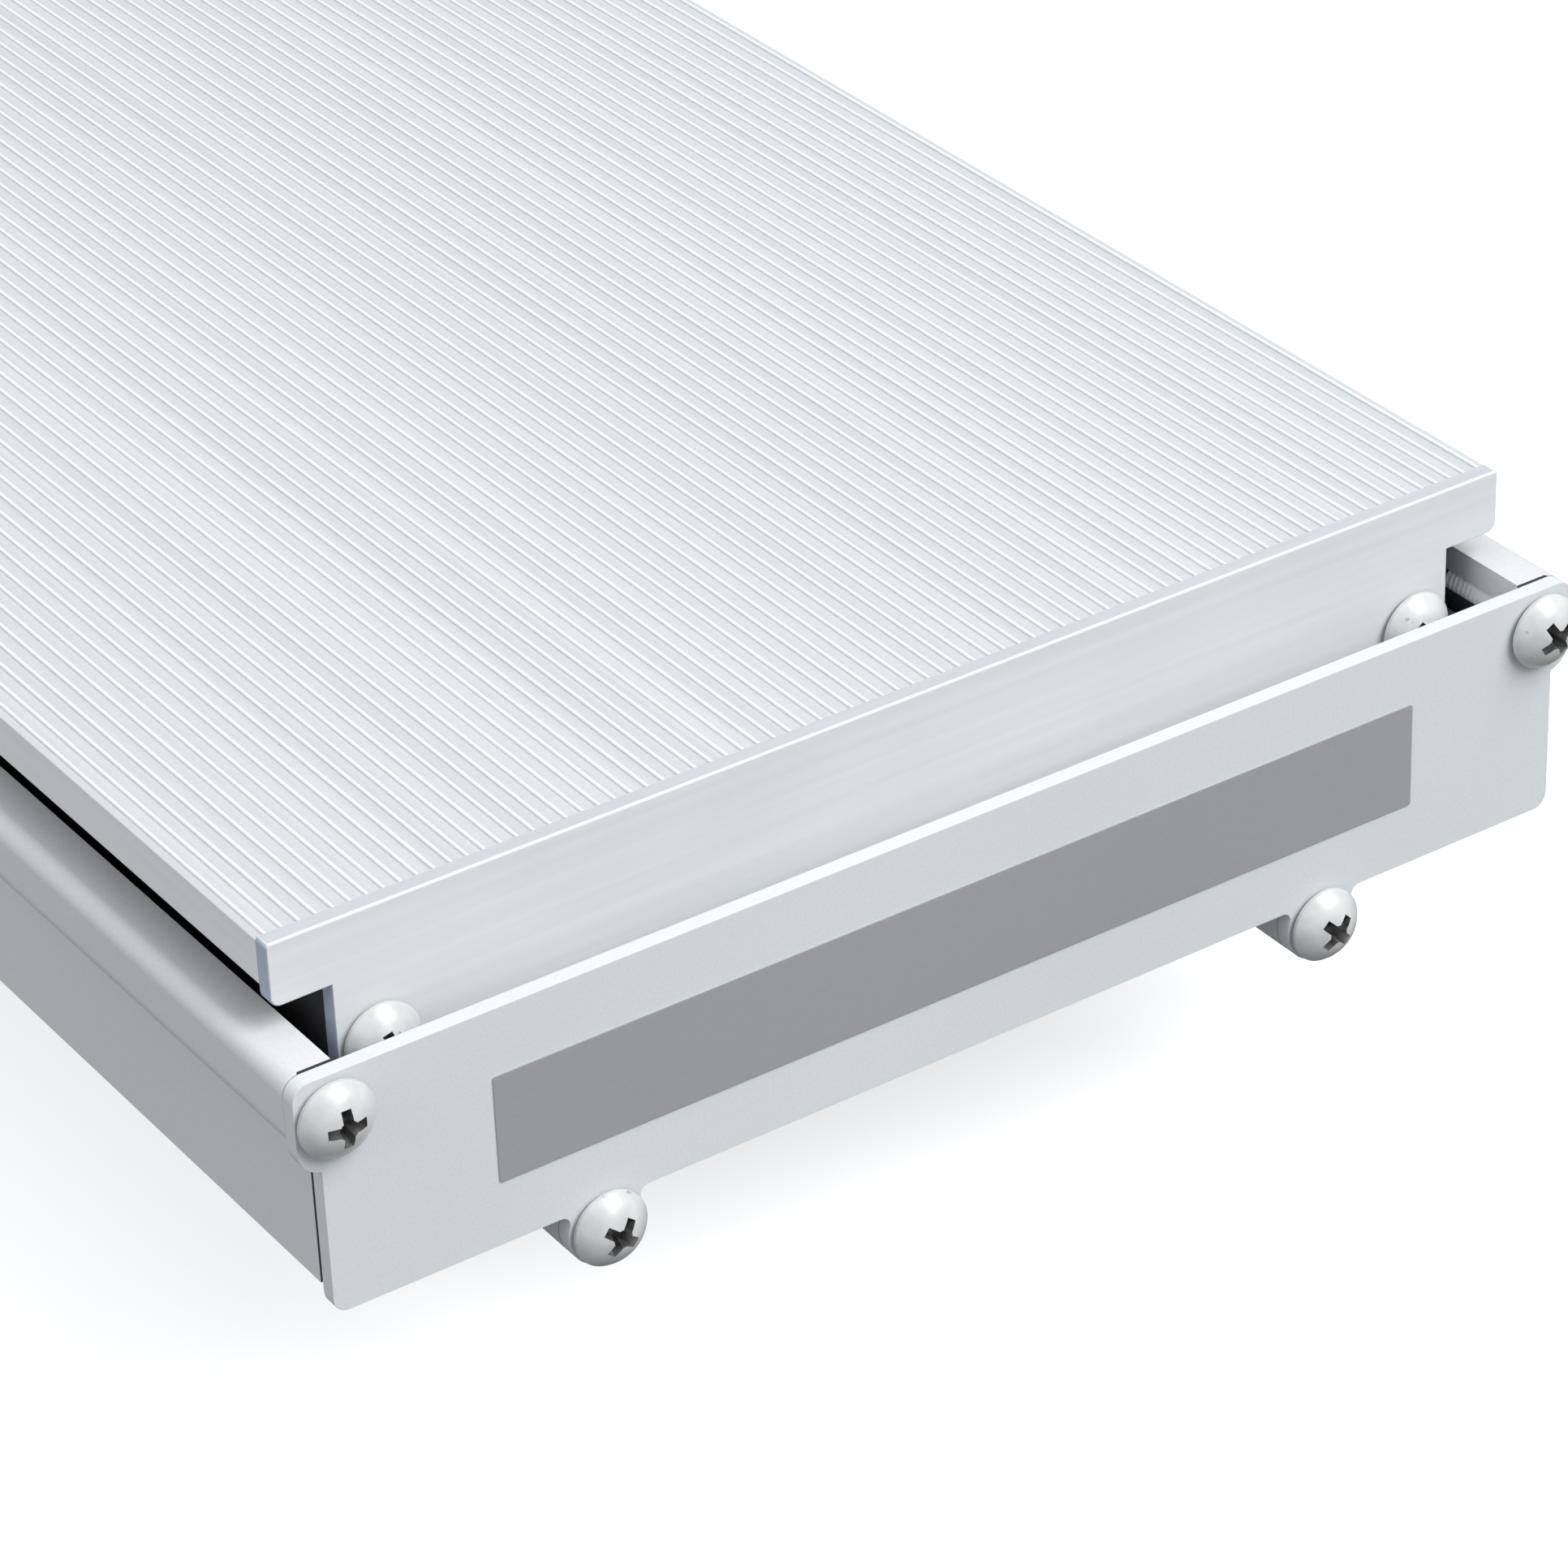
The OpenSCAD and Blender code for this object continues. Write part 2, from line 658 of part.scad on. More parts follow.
module line_lead() { color("saddlebrown") lead(line_route, lead_d); }
module link_lead() { color("dimgray") lead(link_route, lead_d); }
module neutral_lead() { color("royalblue") lead(neutral_route, lead_d); }
module earth_lead() { color("yellowgreen") lead(earth_route, lead_d); }

module earth_stud() {
    color("goldenrod") translate([earth_x, earth_y, 0]) {
        translate([0, 0, floor_z - 3]) cylinder(d = 8 / cos(30), h = 3, $fn = 6);
        translate([0, 0, floor_z - eps]) cylinder(d = earth_d, h = 16);
    }
}

module earth_nut() {
    color("goldenrod") translate([earth_x, earth_y, deck_z]) difference() {
        union() {
            cylinder(d = 8 / cos(30), h = 3.4, $fn = 6);
            translate([0, 0, 3.4 - eps]) cylinder(d = 9.6, h = 3);
        }
        translate([0, 0, -1]) cylinder(r = earth_d / 2 + screw_play, h = 10);
    }
}

module gland_body() {
    color("dimgray") translate([gland_x, 0, 0]) difference() {
        union() {
            translate([0, 0, floor_z - 5]) cylinder(d = gland_hex_d, h = 5, $fn = 6);
            translate([0, 0, floor_z - 12]) cylinder(d = gland_d, h = casing_wall + 20);
        }
        translate([0, 0, floor_z - 13]) cylinder(d = gland_bore + 3, h = casing_wall + 22);
    }
}

module gland_locknut() {
    color("dimgray") translate([gland_x, 0, deck_z]) difference() {
        cylinder(d = gland_hex_d, h = 5, $fn = 6);
        translate([0, 0, -1]) cylinder(r = gland_d / 2 + screw_play, h = 7);
    }
}

module gland_seal() {
    color("black") translate([gland_x, 0, floor_z - 12]) difference() {
        cylinder(d = gland_bore + 2.8, h = 12);
        translate([0, 0, -1]) cylinder(d = gland_bore - 2, h = 14);
    }
}

module gland_cap() {
    color("dimgray") translate([gland_x, 0, floor_z - 16]) difference() {
        union() {
            translate([0, 0, 3]) cylinder(d = gland_hex_d, h = 7.8, $fn = 6);
            cylinder(d1 = gland_d * 0.9, d2 = gland_d * 1.15, h = 3.01);
        }
        translate([0, 0, 3.9]) cylinder(r = gland_d / 2 + screw_play, h = 8);
        translate([0, 0, -1]) cylinder(d = gland_bore, h = 8);
    }
}

// ---- brackets ----

// a saddle grips the two screw rails and slides along them
module saddle_half_outline() {
    claw_y = port_y + port_r + slide_gap;
    claw_top = floor_z - 0.8;
    rect(0, saddle_z, claw_y + claw_t, saddle_z + bracket_t);
    rect(claw_y, saddle_z, claw_y + claw_t, claw_top);
    rect(claw_y - claw_in, claw_top - 1.4, claw_y + claw_t, claw_top);
}

// plate across X with a round end about the pivot, reaching to the height root_z
module pivot_ear(x0, root_z, hole_r) {
    along_x(x0, bracket_t) difference() {
        union() {
            translate([0, pivot_z]) circle(ear_r);
            rect(-ear_r, min(pivot_z, root_z), ear_r, max(pivot_z, root_z));
        }
        translate([0, pivot_z]) circle(hole_r);
    }
}

module saddle() {
    color("lightgray") difference() {
        union() {
            along_x(-saddle_l / 2, saddle_l) both_sides() saddle_half_outline();
            for (x0 = [-ear_x, ear_x - bracket_t])
                pivot_ear(x0, saddle_z + 1, pivot_d / 2 + screw_play);
        }
        for (side = [1, -1])
            translate([0, side * clamp_y, saddle_z - 1])
                cylinder(r = clamp_d / 2 + screw_play, h = bracket_t + 2);
    }
}

module pivot_bolt() {
    head_x = ear_x + washer_t;
    color("silver") {
        hex_x(head_x, head_x + bolt_head_h, 0, pivot_z, bolt_flat);
        bar_x(-ear_x - washer_t - 9, head_x + eps, 0, pivot_z, pivot_d / 2);
    }
}

module pivot_washers() {
    color("silver") for (x = [-ear_x - washer_t, ear_x]) difference() {
        bar_x(x, x + washer_t, 0, pivot_z, washer_d / 2);
        bar_x(x - 1, x + washer_t + 1, 0, pivot_z, pivot_d / 2 + screw_play);
    }
}

module pivot_nut() {
    nut_x = -ear_x - washer_t;
    color("silver") difference() {
        hex_x(nut_x - 6.8, nut_x, 0, pivot_z, bolt_flat);
        bar_x(nut_x - 8, nut_x + 1, 0, pivot_z, pivot_d / 2 + screw_play);
    }
}

module clamp_screws() {
    color("silver") for (side = [1, -1]) translate([0, side * clamp_y, 0]) {
        translate([0, 0, saddle_z - 4]) cylinder(d = clamp_flat / cos(30), h = 4, $fn = 6);
        translate([0, 0, saddle_z - eps])
            cylinder(d = clamp_d, h = floor_z - slide_gap - saddle_z);
    }
}

module foot() {
    color("lightgray") difference() {
        union() {
            span([-foot_l / 2, -foot_w / 2, 0], [foot_l / 2, foot_w / 2, bracket_t]);
            for (x0 = [-lug_x, lug_x - bracket_t])
                pivot_ear(x0, bracket_t - 1, pivot_d / 2 + pivot_play);
        }
        for (x = [-foot_hole_x / 2, foot_hole_x / 2], y = [-foot_hole_y / 2, foot_hole_y / 2])
            translate([x, y, -1]) cylinder(d = foot_hole_d, h = bracket_t + 2);
    }
}

module at_front() { translate([bracket_x, 0, 0]) children(); }
module at_rear() { translate([-bracket_x, 0, 0]) children(); }

module saddle_front() { at_front() saddle(); }
module pivot_bolt_front() { at_front() pivot_bolt(); }
module pivot_washers_front() { at_front() pivot_washers(); }
module pivot_nut_front() { at_front() pivot_nut(); }
module clamp_screws_front() { at_front() clamp_screws(); }
module foot_front() { at_front() foot(); }
module saddle_rear() { at_rear() saddle(); }
module pivot_bolt_rear() { at_rear() pivot_bolt(); }
module pivot_washers_rear() { at_rear() pivot_washers(); }
module pivot_nut_rear() { at_rear() pivot_nut(); }
module clamp_screws_rear() { at_rear() clamp_screws(); }
module foot_rear() { at_rear() foot(); }

casing();
casing_end_plate_front();
casing_end_plate_rear();
corner_screws();
rail_screws();
name_plate();
emitter_panel();
emitter_end_plate_front();
emitter_end_plate_rear();
emitter_end_screws();
heating_element_left();
heating_element_right();
element_retainers();
element_bushes();
terminal_pins();
terminal_nuts();
insulation_board();
reflector_pan();
cradle_front();
cradle_middle();
cradle_rear();
cradle_floor_screws();
cradle_side_screws();
terminal_block();
terminal_barrels();
terminal_clamp_screws();
terminal_block_screws();
line_lead();
link_lead();
neutral_lead();
earth_lead();
earth_stud();
earth_nut();
gland_body();
gland_locknut();
gland_seal();
gland_cap();
saddle_front();
pivot_bolt_front();
pivot_washers_front();
pivot_nut_front();
clamp_screws_front();
foot_front();
saddle_rear();
pivot_bolt_rear();
pivot_washers_rear();
pivot_nut_rear();
clamp_screws_rear();
foot_rear();
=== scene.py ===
# %% [markdown]
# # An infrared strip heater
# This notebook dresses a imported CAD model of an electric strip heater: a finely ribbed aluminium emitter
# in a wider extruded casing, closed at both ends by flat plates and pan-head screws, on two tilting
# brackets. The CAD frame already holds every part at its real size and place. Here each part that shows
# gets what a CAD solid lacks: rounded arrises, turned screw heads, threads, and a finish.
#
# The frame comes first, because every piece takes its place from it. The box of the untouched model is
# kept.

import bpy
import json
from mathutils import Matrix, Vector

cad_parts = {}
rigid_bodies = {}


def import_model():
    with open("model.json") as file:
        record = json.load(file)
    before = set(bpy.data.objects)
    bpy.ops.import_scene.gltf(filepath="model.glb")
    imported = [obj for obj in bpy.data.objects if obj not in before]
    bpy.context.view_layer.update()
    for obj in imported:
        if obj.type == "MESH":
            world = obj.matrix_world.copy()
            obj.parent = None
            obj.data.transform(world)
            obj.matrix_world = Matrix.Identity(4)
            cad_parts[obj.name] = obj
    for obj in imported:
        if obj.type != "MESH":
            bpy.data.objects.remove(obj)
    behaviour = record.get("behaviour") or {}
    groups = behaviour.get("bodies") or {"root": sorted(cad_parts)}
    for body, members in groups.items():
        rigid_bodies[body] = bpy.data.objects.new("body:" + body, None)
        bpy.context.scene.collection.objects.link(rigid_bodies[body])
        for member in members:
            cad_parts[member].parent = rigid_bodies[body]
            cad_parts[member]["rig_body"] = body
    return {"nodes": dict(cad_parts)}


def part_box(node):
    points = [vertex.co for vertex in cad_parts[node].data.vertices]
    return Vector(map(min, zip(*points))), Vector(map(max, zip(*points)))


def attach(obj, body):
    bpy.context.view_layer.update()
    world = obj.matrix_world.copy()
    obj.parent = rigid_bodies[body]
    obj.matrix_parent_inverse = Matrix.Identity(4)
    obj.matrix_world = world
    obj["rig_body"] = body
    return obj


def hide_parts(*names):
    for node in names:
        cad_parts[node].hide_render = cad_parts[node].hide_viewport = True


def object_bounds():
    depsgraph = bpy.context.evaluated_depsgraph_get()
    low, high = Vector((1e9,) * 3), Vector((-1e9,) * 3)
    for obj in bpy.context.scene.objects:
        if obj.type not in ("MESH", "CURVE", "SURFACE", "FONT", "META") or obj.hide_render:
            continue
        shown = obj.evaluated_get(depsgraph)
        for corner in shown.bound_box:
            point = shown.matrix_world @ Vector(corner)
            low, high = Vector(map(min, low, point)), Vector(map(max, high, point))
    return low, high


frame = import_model()
cad_low, cad_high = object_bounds()
print("nodes", len(frame["nodes"]), "box", [round(v, 4) for v in cad_high - cad_low])

# %% Tools used below
import json
from math import cos, pi, radians

import bmesh
import bpy
from mathutils import Matrix, Vector

MM = 0.001
scene = bpy.context.scene
nodes = frame["nodes"]
print("one millimetre is", MM, "of the scene's metres")

# %% [markdown]
# ## Driving sizes
# Nothing is placed by eye. The faces and edges that the pieces share are read from the CAD boxes once,
# under the names that a fitter would use for them, and the later cells only use these names.

# %% Read the shared faces from the frame
casing_low, casing_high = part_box("casing")
emitter_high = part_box("emitter_panel")[1]
end_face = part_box("casing_end_plate_front")[1].x
tee_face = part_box("emitter_end_plate_front")[1].x
rib_top = emitter_high.z
RIB_HEIGHT = 0.3 * MM
FLANGE_HEIGHT = 6.4 * MM
print("end face", round(end_face, 4), "rib tops", round(rib_top, 4))

# %% [markdown]
# ## Camera
# The heater is seen from above its front left corner through a long lens, close enough for the far edge
# to shrink a little. An aim point, two angles, a distance and a small roll say this more plainly than a
# matrix does, and the roll is what tips the horizon of a hand-held camera.

# %% Aim the camera
AZIMUTH = radians(56.806)
ELEVATION = radians(31.791)
ROLL = radians(-2.259)
DISTANCE = 0.68
LENS = 135.66
AIM_BEHIND_END = 8.05 * MM
AIM_TO_NEAR_SIDE = 20.6 * MM
AIM_BELOW_RIBS = 3.5 * MM

aim = Vector((end_face - AIM_BEHIND_END, -AIM_TO_NEAR_SIDE, rib_top - AIM_BELOW_RIBS))
tilt = Matrix.Rotation(pi / 2 - ELEVATION, 3, "X")
turn = Matrix.Rotation(AZIMUTH, 3, "Z") @ tilt
eye = aim + turn @ Vector((0, 0, DISTANCE))
bpy.ops.object.camera_add(location=eye)
camera = bpy.context.object
camera.name = "camera"
camera.rotation_euler = (turn @ Matrix.Rotation(ROLL, 3, "Z")).to_euler()
camera.data.lens = LENS
scene.camera = camera
print("camera at", [round(v, 3) for v in eye])

# %% [markdown]
# ## Light
# Pale, satin metal shows only what it reflects. One broad softbox stands above the front end, towards the
# far side, so that tops are brightest, the front is a step darker, and the near side is lit by the room
# and a weak fill alone. The room is bright above and dim below, as it is over a dark table: that is what
# shapes the screw heads. Lights are hidden from the camera, so that a view from above looks through them.

# %% Place the softboxes
KEY_WATTS = 92
FILL_WATTS = 22


def softbox(name, direction, distance, size, watts):
    """Adds a square area light that faces the front end of the heater from a direction."""
    towards = Vector(direction).normalized()
    bpy.ops.object.light_add(type="AREA", location=aim + towards * distance)
    lamp = bpy.context.object
    lamp.name = name
    lamp.rotation_euler = towards.to_track_quat("Z", "Y").to_euler()
    lamp.data.size = size
    lamp.data.energy = watts
    lamp.visible_camera = False
    return lamp


softbox("key_softbox", direction=(0.78, 0.5, 1.0), distance=3.2, size=2.2, watts=KEY_WATTS)
softbox("side_fill", direction=(0.1, -1.0, 0.6), distance=3.4, size=2.0, watts=FILL_WATTS)

# %% Light the room, brighter above than below
ROOM_ABOVE = 0.6
ROOM_BELOW = 0.18
ROOM_COLOUR = (0.95, 0.97, 1.0, 1)
HORIZON_BAND = 0.3

room = bpy.data.worlds.new("white_room")
room.use_nodes = True
backdrop = room.node_tree.nodes["Background"]
backdrop.inputs["Color"].default_value = ROOM_COLOUR
heading = room.node_tree.nodes.new("ShaderNodeTexCoord")
height = room.node_tree.nodes.new("ShaderNodeSeparateXYZ")
spread = room.node_tree.nodes.new("ShaderNodeMapRange")
spread.inputs["From Min"].default_value = -HORIZON_BAND
spread.inputs["From Max"].default_value = HORIZON_BAND
spread.inputs["To Min"].default_value = ROOM_BELOW
spread.inputs["To Max"].default_value = ROOM_ABOVE
room.node_tree.links.new(heading.outputs["Generated"], height.inputs["Vector"])
room.node_tree.links.new(height.outputs["Z"], spread.inputs["Value"])
room.node_tree.links.new(spread.outputs["Result"], backdrop.inputs["Strength"])
scene.world = room
scene.view_settings.view_transform = "Standard"
print("room", ROOM_BELOW, "below,", ROOM_ABOVE, "above")

# %% [markdown]
# ## Floor
# The heater lies on a white light table. A sheet of paper with a faint glow of its own hides most of the
# shadow, and it is kept out of the bounced light, so it looks white but doesn't light the underside.

# %% Lay the light table
FLOOR_SIZE = 60
FLOOR_GLOW = 0.55
FLOOR_DROP = 0.1 * MM

bpy.ops.mesh.primitive_plane_add(size=FLOOR_SIZE, location=(0, 0, cad_low.z - FLOOR_DROP))
floor = bpy.context.object
floor.name = "floor"
floor.visible_diffuse = False
floor.visible_glossy = False
print("floor", FLOOR_SIZE, "m across")

# %% [markdown]
# ## Hands
# Every piece is shaped with the same few moves: open it in edit mode with nothing picked, pick edges or
# faces by where they are, and act on them. An operator acts on all that is selected, and loading the
# frame leaves the CAD nodes selected, so each move begins by clearing the selection.

# %% Open, pick and close
def only(piece):
    """Makes a piece the one selected and active object."""
    bpy.ops.object.select_all(action="DESELECT")
    piece.select_set(True)
    bpy.context.view_layer.objects.active = piece


def open_edit(piece, mode="EDGE"):
    """Opens a piece in edit mode with nothing picked."""
    only(piece)
    bpy.ops.object.mode_set(mode="EDIT")
    bpy.ops.mesh.select_mode(type=mode)
    bpy.ops.mesh.select_all(action="DESELECT")


def close_edit():
    """Goes back to object mode."""
    bpy.ops.object.mode_set(mode="OBJECT")


def pick(piece, kind, test):
    """Picks the edges or faces of the open piece that pass a test, and returns how many."""
    mesh = bmesh.from_edit_mesh(piece.data)
    chosen = [part for part in getattr(mesh, kind) if test(part)]
    for part in chosen:
        part.select_set(True)
    bmesh.update_edit_mesh(piece.data)
    return len(chosen)


print("moves: only, open_edit, pick, close_edit")

# %% [markdown]
# ## Copies of extruded parts
# An extruded or punched part is already right in outline, so it starts as a copy of its CAD mesh. That
# mesh is loose triangles: the copy is merged, and its flat faces are joined, so that each arris is one
# clean edge. Rounding those edges is what makes metal look real, because a sharp corner never catches
# the light. A weighted normal keeps the flats flat beside the rounded edges. Four limits say when an edge
# or a face counts: as folded, as near a place, as straight along an axis, and as facing along one.

# %% Copy a CAD mesh and round its edges
FLAT_ANGLE = radians(0.5)
FOLD_ANGLE = radians(25)
MERGE_DISTANCE = 0.001 * MM
NEAR = 0.02 * MM
STRAIGHT = 0.999
FACING = 0.9


def merged_copy(node, name):
    """Returns a new object with a merged copy of a CAD node's mesh, its flat faces joined."""
    piece = bpy.data.objects.new(name, nodes[node].data.copy())
    scene.collection.objects.link(piece)
    open_edit(piece)
    bpy.ops.mesh.select_all(action="SELECT")
    bpy.ops.mesh.remove_doubles(threshold=MERGE_DISTANCE)
    bpy.ops.mesh.dissolve_limited(angle_limit=FLAT_ANGLE)
    close_edit()
    bpy.ops.mesh.customdata_custom_splitnormals_clear()
    return piece


def is_fold(edge):
    """Says whether two faces meet at an edge at a clear angle."""
    return len(edge.link_faces) == 2 and edge.calc_face_angle() > FOLD_ANGLE


def runs_along(edge, axis):
    """Says whether an edge is straight along the axis X, Y or Z, given as 0, 1 or 2."""
    run = edge.verts[1].co - edge.verts[0].co
    return abs(run[axis]) > STRAIGHT * run.length


def lies_at(edge, axis, value):
    """Says whether both ends of an edge have this coordinate."""
    return all(abs(v.co[axis] - value) < NEAR for v in edge.verts)


def round_edges(piece, width, segments, test, clamp=True):
    """Bevels the folded edges of a piece that pass a test. clamp stops neighbours from overlapping."""
    open_edit(piece)
    count = pick(piece, "edges", lambda edge: is_fold(edge) and test(edge))
    if count:
        bpy.ops.mesh.bevel(offset=width, segments=segments, affect="EDGES", clamp_overlap=clamp)
    close_edit()
    return count


print("a fold is sharper than", round(FOLD_ANGLE, 3), "radians")

# %% Smooth a piece and give it its finish
SMOOTH_ANGLE = radians(32)


def smooth(piece):
    """Removes slivers, and shades a piece smooth across its rounded edges with its flats kept flat."""
    open_edit(piece)
    bpy.ops.mesh.select_all(action="SELECT")
    bpy.ops.mesh.remove_doubles(threshold=MERGE_DISTANCE)
    bpy.ops.mesh.dissolve_degenerate(threshold=MERGE_DISTANCE)
    close_edit()
    only(piece)
    bpy.ops.object.shade_smooth_by_angle(angle=SMOOTH_ANGLE)
    weighted = piece.modifiers.new("flat_faces", "WEIGHTED_NORMAL")
    weighted.keep_sharp = True
    bpy.ops.object.modifier_apply(modifier=weighted.name)


def coat(piece, finishes, choose=None):
    """Gives a piece its finishes. choose says which one a face gets, as a number from 0."""
    piece.data.materials.clear()
    for finish in finishes:
        piece.data.materials.append(finish)
    if choose:
        for face in piece.data.polygons:
            face.material_index = choose(face)


def dress(piece, slot, *replaced):
    """Lets a piece ride with the CAD nodes that it replaces, and hides them. Its slot is not used."""
    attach(piece, nodes[replaced[0]]["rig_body"])
    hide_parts(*replaced)
    print(piece.name, "faces", len(piece.data.polygons))


print("ready to dress", len(nodes), "nodes")

# %% [markdown]
# ## Finishes
# A finish is a small node tree: a base colour that drifts a little, a roughness that is never quite even,
# and a fine bump. All of them read Object coordinates, so the grain keeps its real size on every piece,
# and a stretch along one axis turns plain noise into draw lines or brushing.

# %% Node tree helpers
def new_finish(name, colour, roughness, metallic=0.0):
    """Returns a new material and its principled shader."""
    finish = bpy.data.materials.new(name)
    finish.use_nodes = True
    shader = finish.node_tree.nodes["Principled BSDF"]
    shader.inputs["Base Color"].default_value = (*colour, 1)
    shader.inputs["Roughness"].default_value = roughness
    shader.inputs["Metallic"].default_value = metallic
    return finish, shader


def add_node(finish, kind, **settings):
    """Adds a node to a finish and sets its properties."""
    node = finish.node_tree.nodes.new(kind)
    for name, value in settings.items():
        setattr(node, name, value)
    return node


def wire(finish, output, socket):
    """Links an output to a socket."""
    finish.node_tree.links.new(output, socket)


def grain(finish, scale, stretch=(1, 1, 1), detail=3.0, kind="ShaderNodeTexNoise"):
    """Adds a texture in Object coordinates, stretched per axis, and returns its node."""
    place = add_node(finish, "ShaderNodeTexCoord")
    mapping = add_node(finish, "ShaderNodeMapping")
    mapping.inputs["Scale"].default_value = stretch
    wire(finish, place.outputs["Object"], mapping.inputs["Vector"])
    texture = add_node(finish, kind)
    texture.inputs["Scale"].default_value = scale
    if kind == "ShaderNodeTexNoise":
        texture.inputs["Detail"].default_value = detail
    wire(finish, mapping.outputs["Vector"], texture.inputs["Vector"])
    return texture


def tint(finish, factor, dark, light, low=0.3, high=0.7):
    """Turns a factor into a colour between two colours, and returns the colour output."""
    ramp = add_node(finish, "ShaderNodeValToRGB")
    ramp.color_ramp.elements[0].position = low
    ramp.color_ramp.elements[0].color = (*dark, 1)
    ramp.color_ramp.elements[1].position = high
    ramp.color_ramp.elements[1].color = (*light, 1)
    wire(finish, factor, ramp.inputs["Fac"])
    return ramp.outputs["Color"]


def blend_colour(finish, factor, first, second, mode="MIX"):
    """Mixes two colour outputs and returns the result."""
    mix = add_node(finish, "ShaderNodeMix", data_type="RGBA", blend_type=mode)
    if isinstance(factor, (int, float)):
        mix.inputs["Factor"].default_value = factor
    else:
        wire(finish, factor, mix.inputs["Factor"])
    wire(finish, first, mix.inputs["A"])
    wire(finish, second, mix.inputs["B"])
    return mix.outputs["Result"]


def vary(finish, factor, socket, low, high):
    """Feeds a socket with a factor, spread between two values."""
    spread = add_node(finish, "ShaderNodeMapRange")
    spread.inputs["To Min"].default_value = low
    spread.inputs["To Max"].default_value = high
    wire(finish, factor, spread.inputs["Value"])
    wire(finish, spread.outputs["Result"], socket)


def raise_grain(finish, shader, heights, depth):
    """Bumps the surface by a list of (factor, share) pairs, one bump after the other."""
    normal = None
    for factor, share in heights:
        bump = add_node(finish, "ShaderNodeBump")
        bump.inputs["Strength"].default_value = share
        bump.inputs["Distance"].default_value = depth
        wire(finish, factor, bump.inputs["Height"])
        if normal is not None:
            wire(finish, normal, bump.inputs["Normal"])
        normal = bump.outputs["Normal"]
    wire(finish, normal, shader.inputs["Normal"])


def shade(colour, factor):
    """Returns a colour made lighter or darker."""
    return tuple(c * factor for c in colour)


print("helpers: grain, tint, blend_colour, vary, raise_grain")

# %% [markdown]
# ### Coated and anodised aluminium
# The casing is powder coated: a satin skin with a faint orange peel. The emitter is anodised, with draw
# lines along the extrusion, and its crests are painted paler than the valleys, as a painted highlight.
# The height above the valleys is enough to tell them apart. The end plates
# are sheet: coated on the casing, bare rolled metal on the emitter.

# %% Powder coat for the casing, its end plates and the brackets
def powder_coat(name, colour, roughness=0.42, peel=0.25):
    """Satin powder coat with orange peel and a slow drift of tone."""
    finish, shader = new_finish(name, colour, roughness)
    drift = grain(finish, 9, detail=2).outputs["Fac"]
    speck = grain(finish, 2600, detail=1).outputs["Fac"]
    wide = tint(finish, drift, shade(colour, 0.97), shade(colour, 1.03))
    fine = tint(finish, speck, (0.95, 0.95, 0.95), (1, 1, 1))
    wire(finish, blend_colour(finish, 1.0, wide, fine, "MULTIPLY"), shader.inputs["Base Color"])
    vary(finish, drift, shader.inputs["Roughness"], roughness - 0.05, roughness + 0.06)
    ripple = grain(finish, 420, detail=1).outputs["Fac"]
    raise_grain(finish, shader, [(ripple, peel), (speck, peel / 2)], 0.05 * MM)
    return finish


casing_coat = powder_coat("pale_silver_coat", (0.785, 0.79, 0.815))
end_plate_coat = powder_coat("cool_white_coat", (0.78, 0.82, 0.84))
bracket_coat = powder_coat("bracket_coat_grey", (0.70, 0.71, 0.72), 0.5, 0.4)
print("powder coats made")

# %% Anodised emitter with a painted highlight on its crests
def ribbed_anodising(name):
    """Matt anodising with draw lines along X, and a painted highlight on the crests of the ribs."""
    valley = (0.645, 0.675, 0.69)
    crest_highlight = (0.90, 0.92, 0.94)
    finish, shader = new_finish(name, valley, 0.5)
    lines = grain(finish, 900, stretch=(0.004, 1, 1), detail=4).outputs["Fac"]
    speck = grain(finish, 3200, detail=1).outputs["Fac"]
    place = add_node(finish, "ShaderNodeTexCoord")
    split = add_node(finish, "ShaderNodeSeparateXYZ")
    wire(finish, place.outputs["Object"], split.inputs["Vector"])
    # Height mask: the crests get a painted highlight, paler than the valleys.
    rise = add_node(finish, "ShaderNodeMapRange", interpolation_type="SMOOTHSTEP")
    rise.inputs["From Min"].default_value = rib_top - 0.98 * RIB_HEIGHT
    rise.inputs["From Max"].default_value = rib_top - 0.45 * RIB_HEIGHT
    wire(finish, split.outputs["Z"], rise.inputs["Value"])
    drawn = tint(finish, lines, shade(valley, 0.95), shade(valley, 1.05))
    dusty = tint(finish, speck, (0.94, 0.94, 0.94), (1, 1, 1))
    floor_tone = blend_colour(finish, 1.0, drawn, dusty, "MULTIPLY")
    painted_crest_highlight = tint(finish, lines, shade(crest_highlight, 0.97), crest_highlight)
    tone = blend_colour(finish, rise.outputs["Result"], floor_tone, painted_crest_highlight)
    wire(finish, tone, shader.inputs["Base Color"])
    vary(finish, lines, shader.inputs["Roughness"], 0.42, 0.58)
    raise_grain(finish, shader, [(lines, 0.2), (speck, 0.12)], 0.04 * MM)
    return finish


emitter_skin = ribbed_anodising("ribbed_anodising")
print("emitter skin made")

# %% Rolled sheet, its cut edges, and painted shade for the inside
def rolled_sheet(name, colour, roughness, stretch, metallic=0.0, depth=0.03, drift=0.97):
    """Bare or anodised sheet with rolling lines along the axis with the small stretch."""
    finish, shader = new_finish(name, colour, roughness, metallic)
    lines = grain(finish, 700, stretch=stretch, detail=4).outputs["Fac"]
    cloud = grain(finish, 26, detail=3).outputs["Fac"]
    rolled = tint(finish, lines, shade(colour, 0.96), shade(colour, 1.03))
    soft = tint(finish, cloud, (drift, drift + 0.01, drift), (1, 1, 1))
    wire(finish, blend_colour(finish, 1.0, rolled, soft, "MULTIPLY"), shader.inputs["Base Color"])
    vary(finish, lines, shader.inputs["Roughness"], roughness - 0.07, roughness + 0.08)
    raise_grain(finish, shader, [(lines, 0.3)], depth * MM)
    return finish


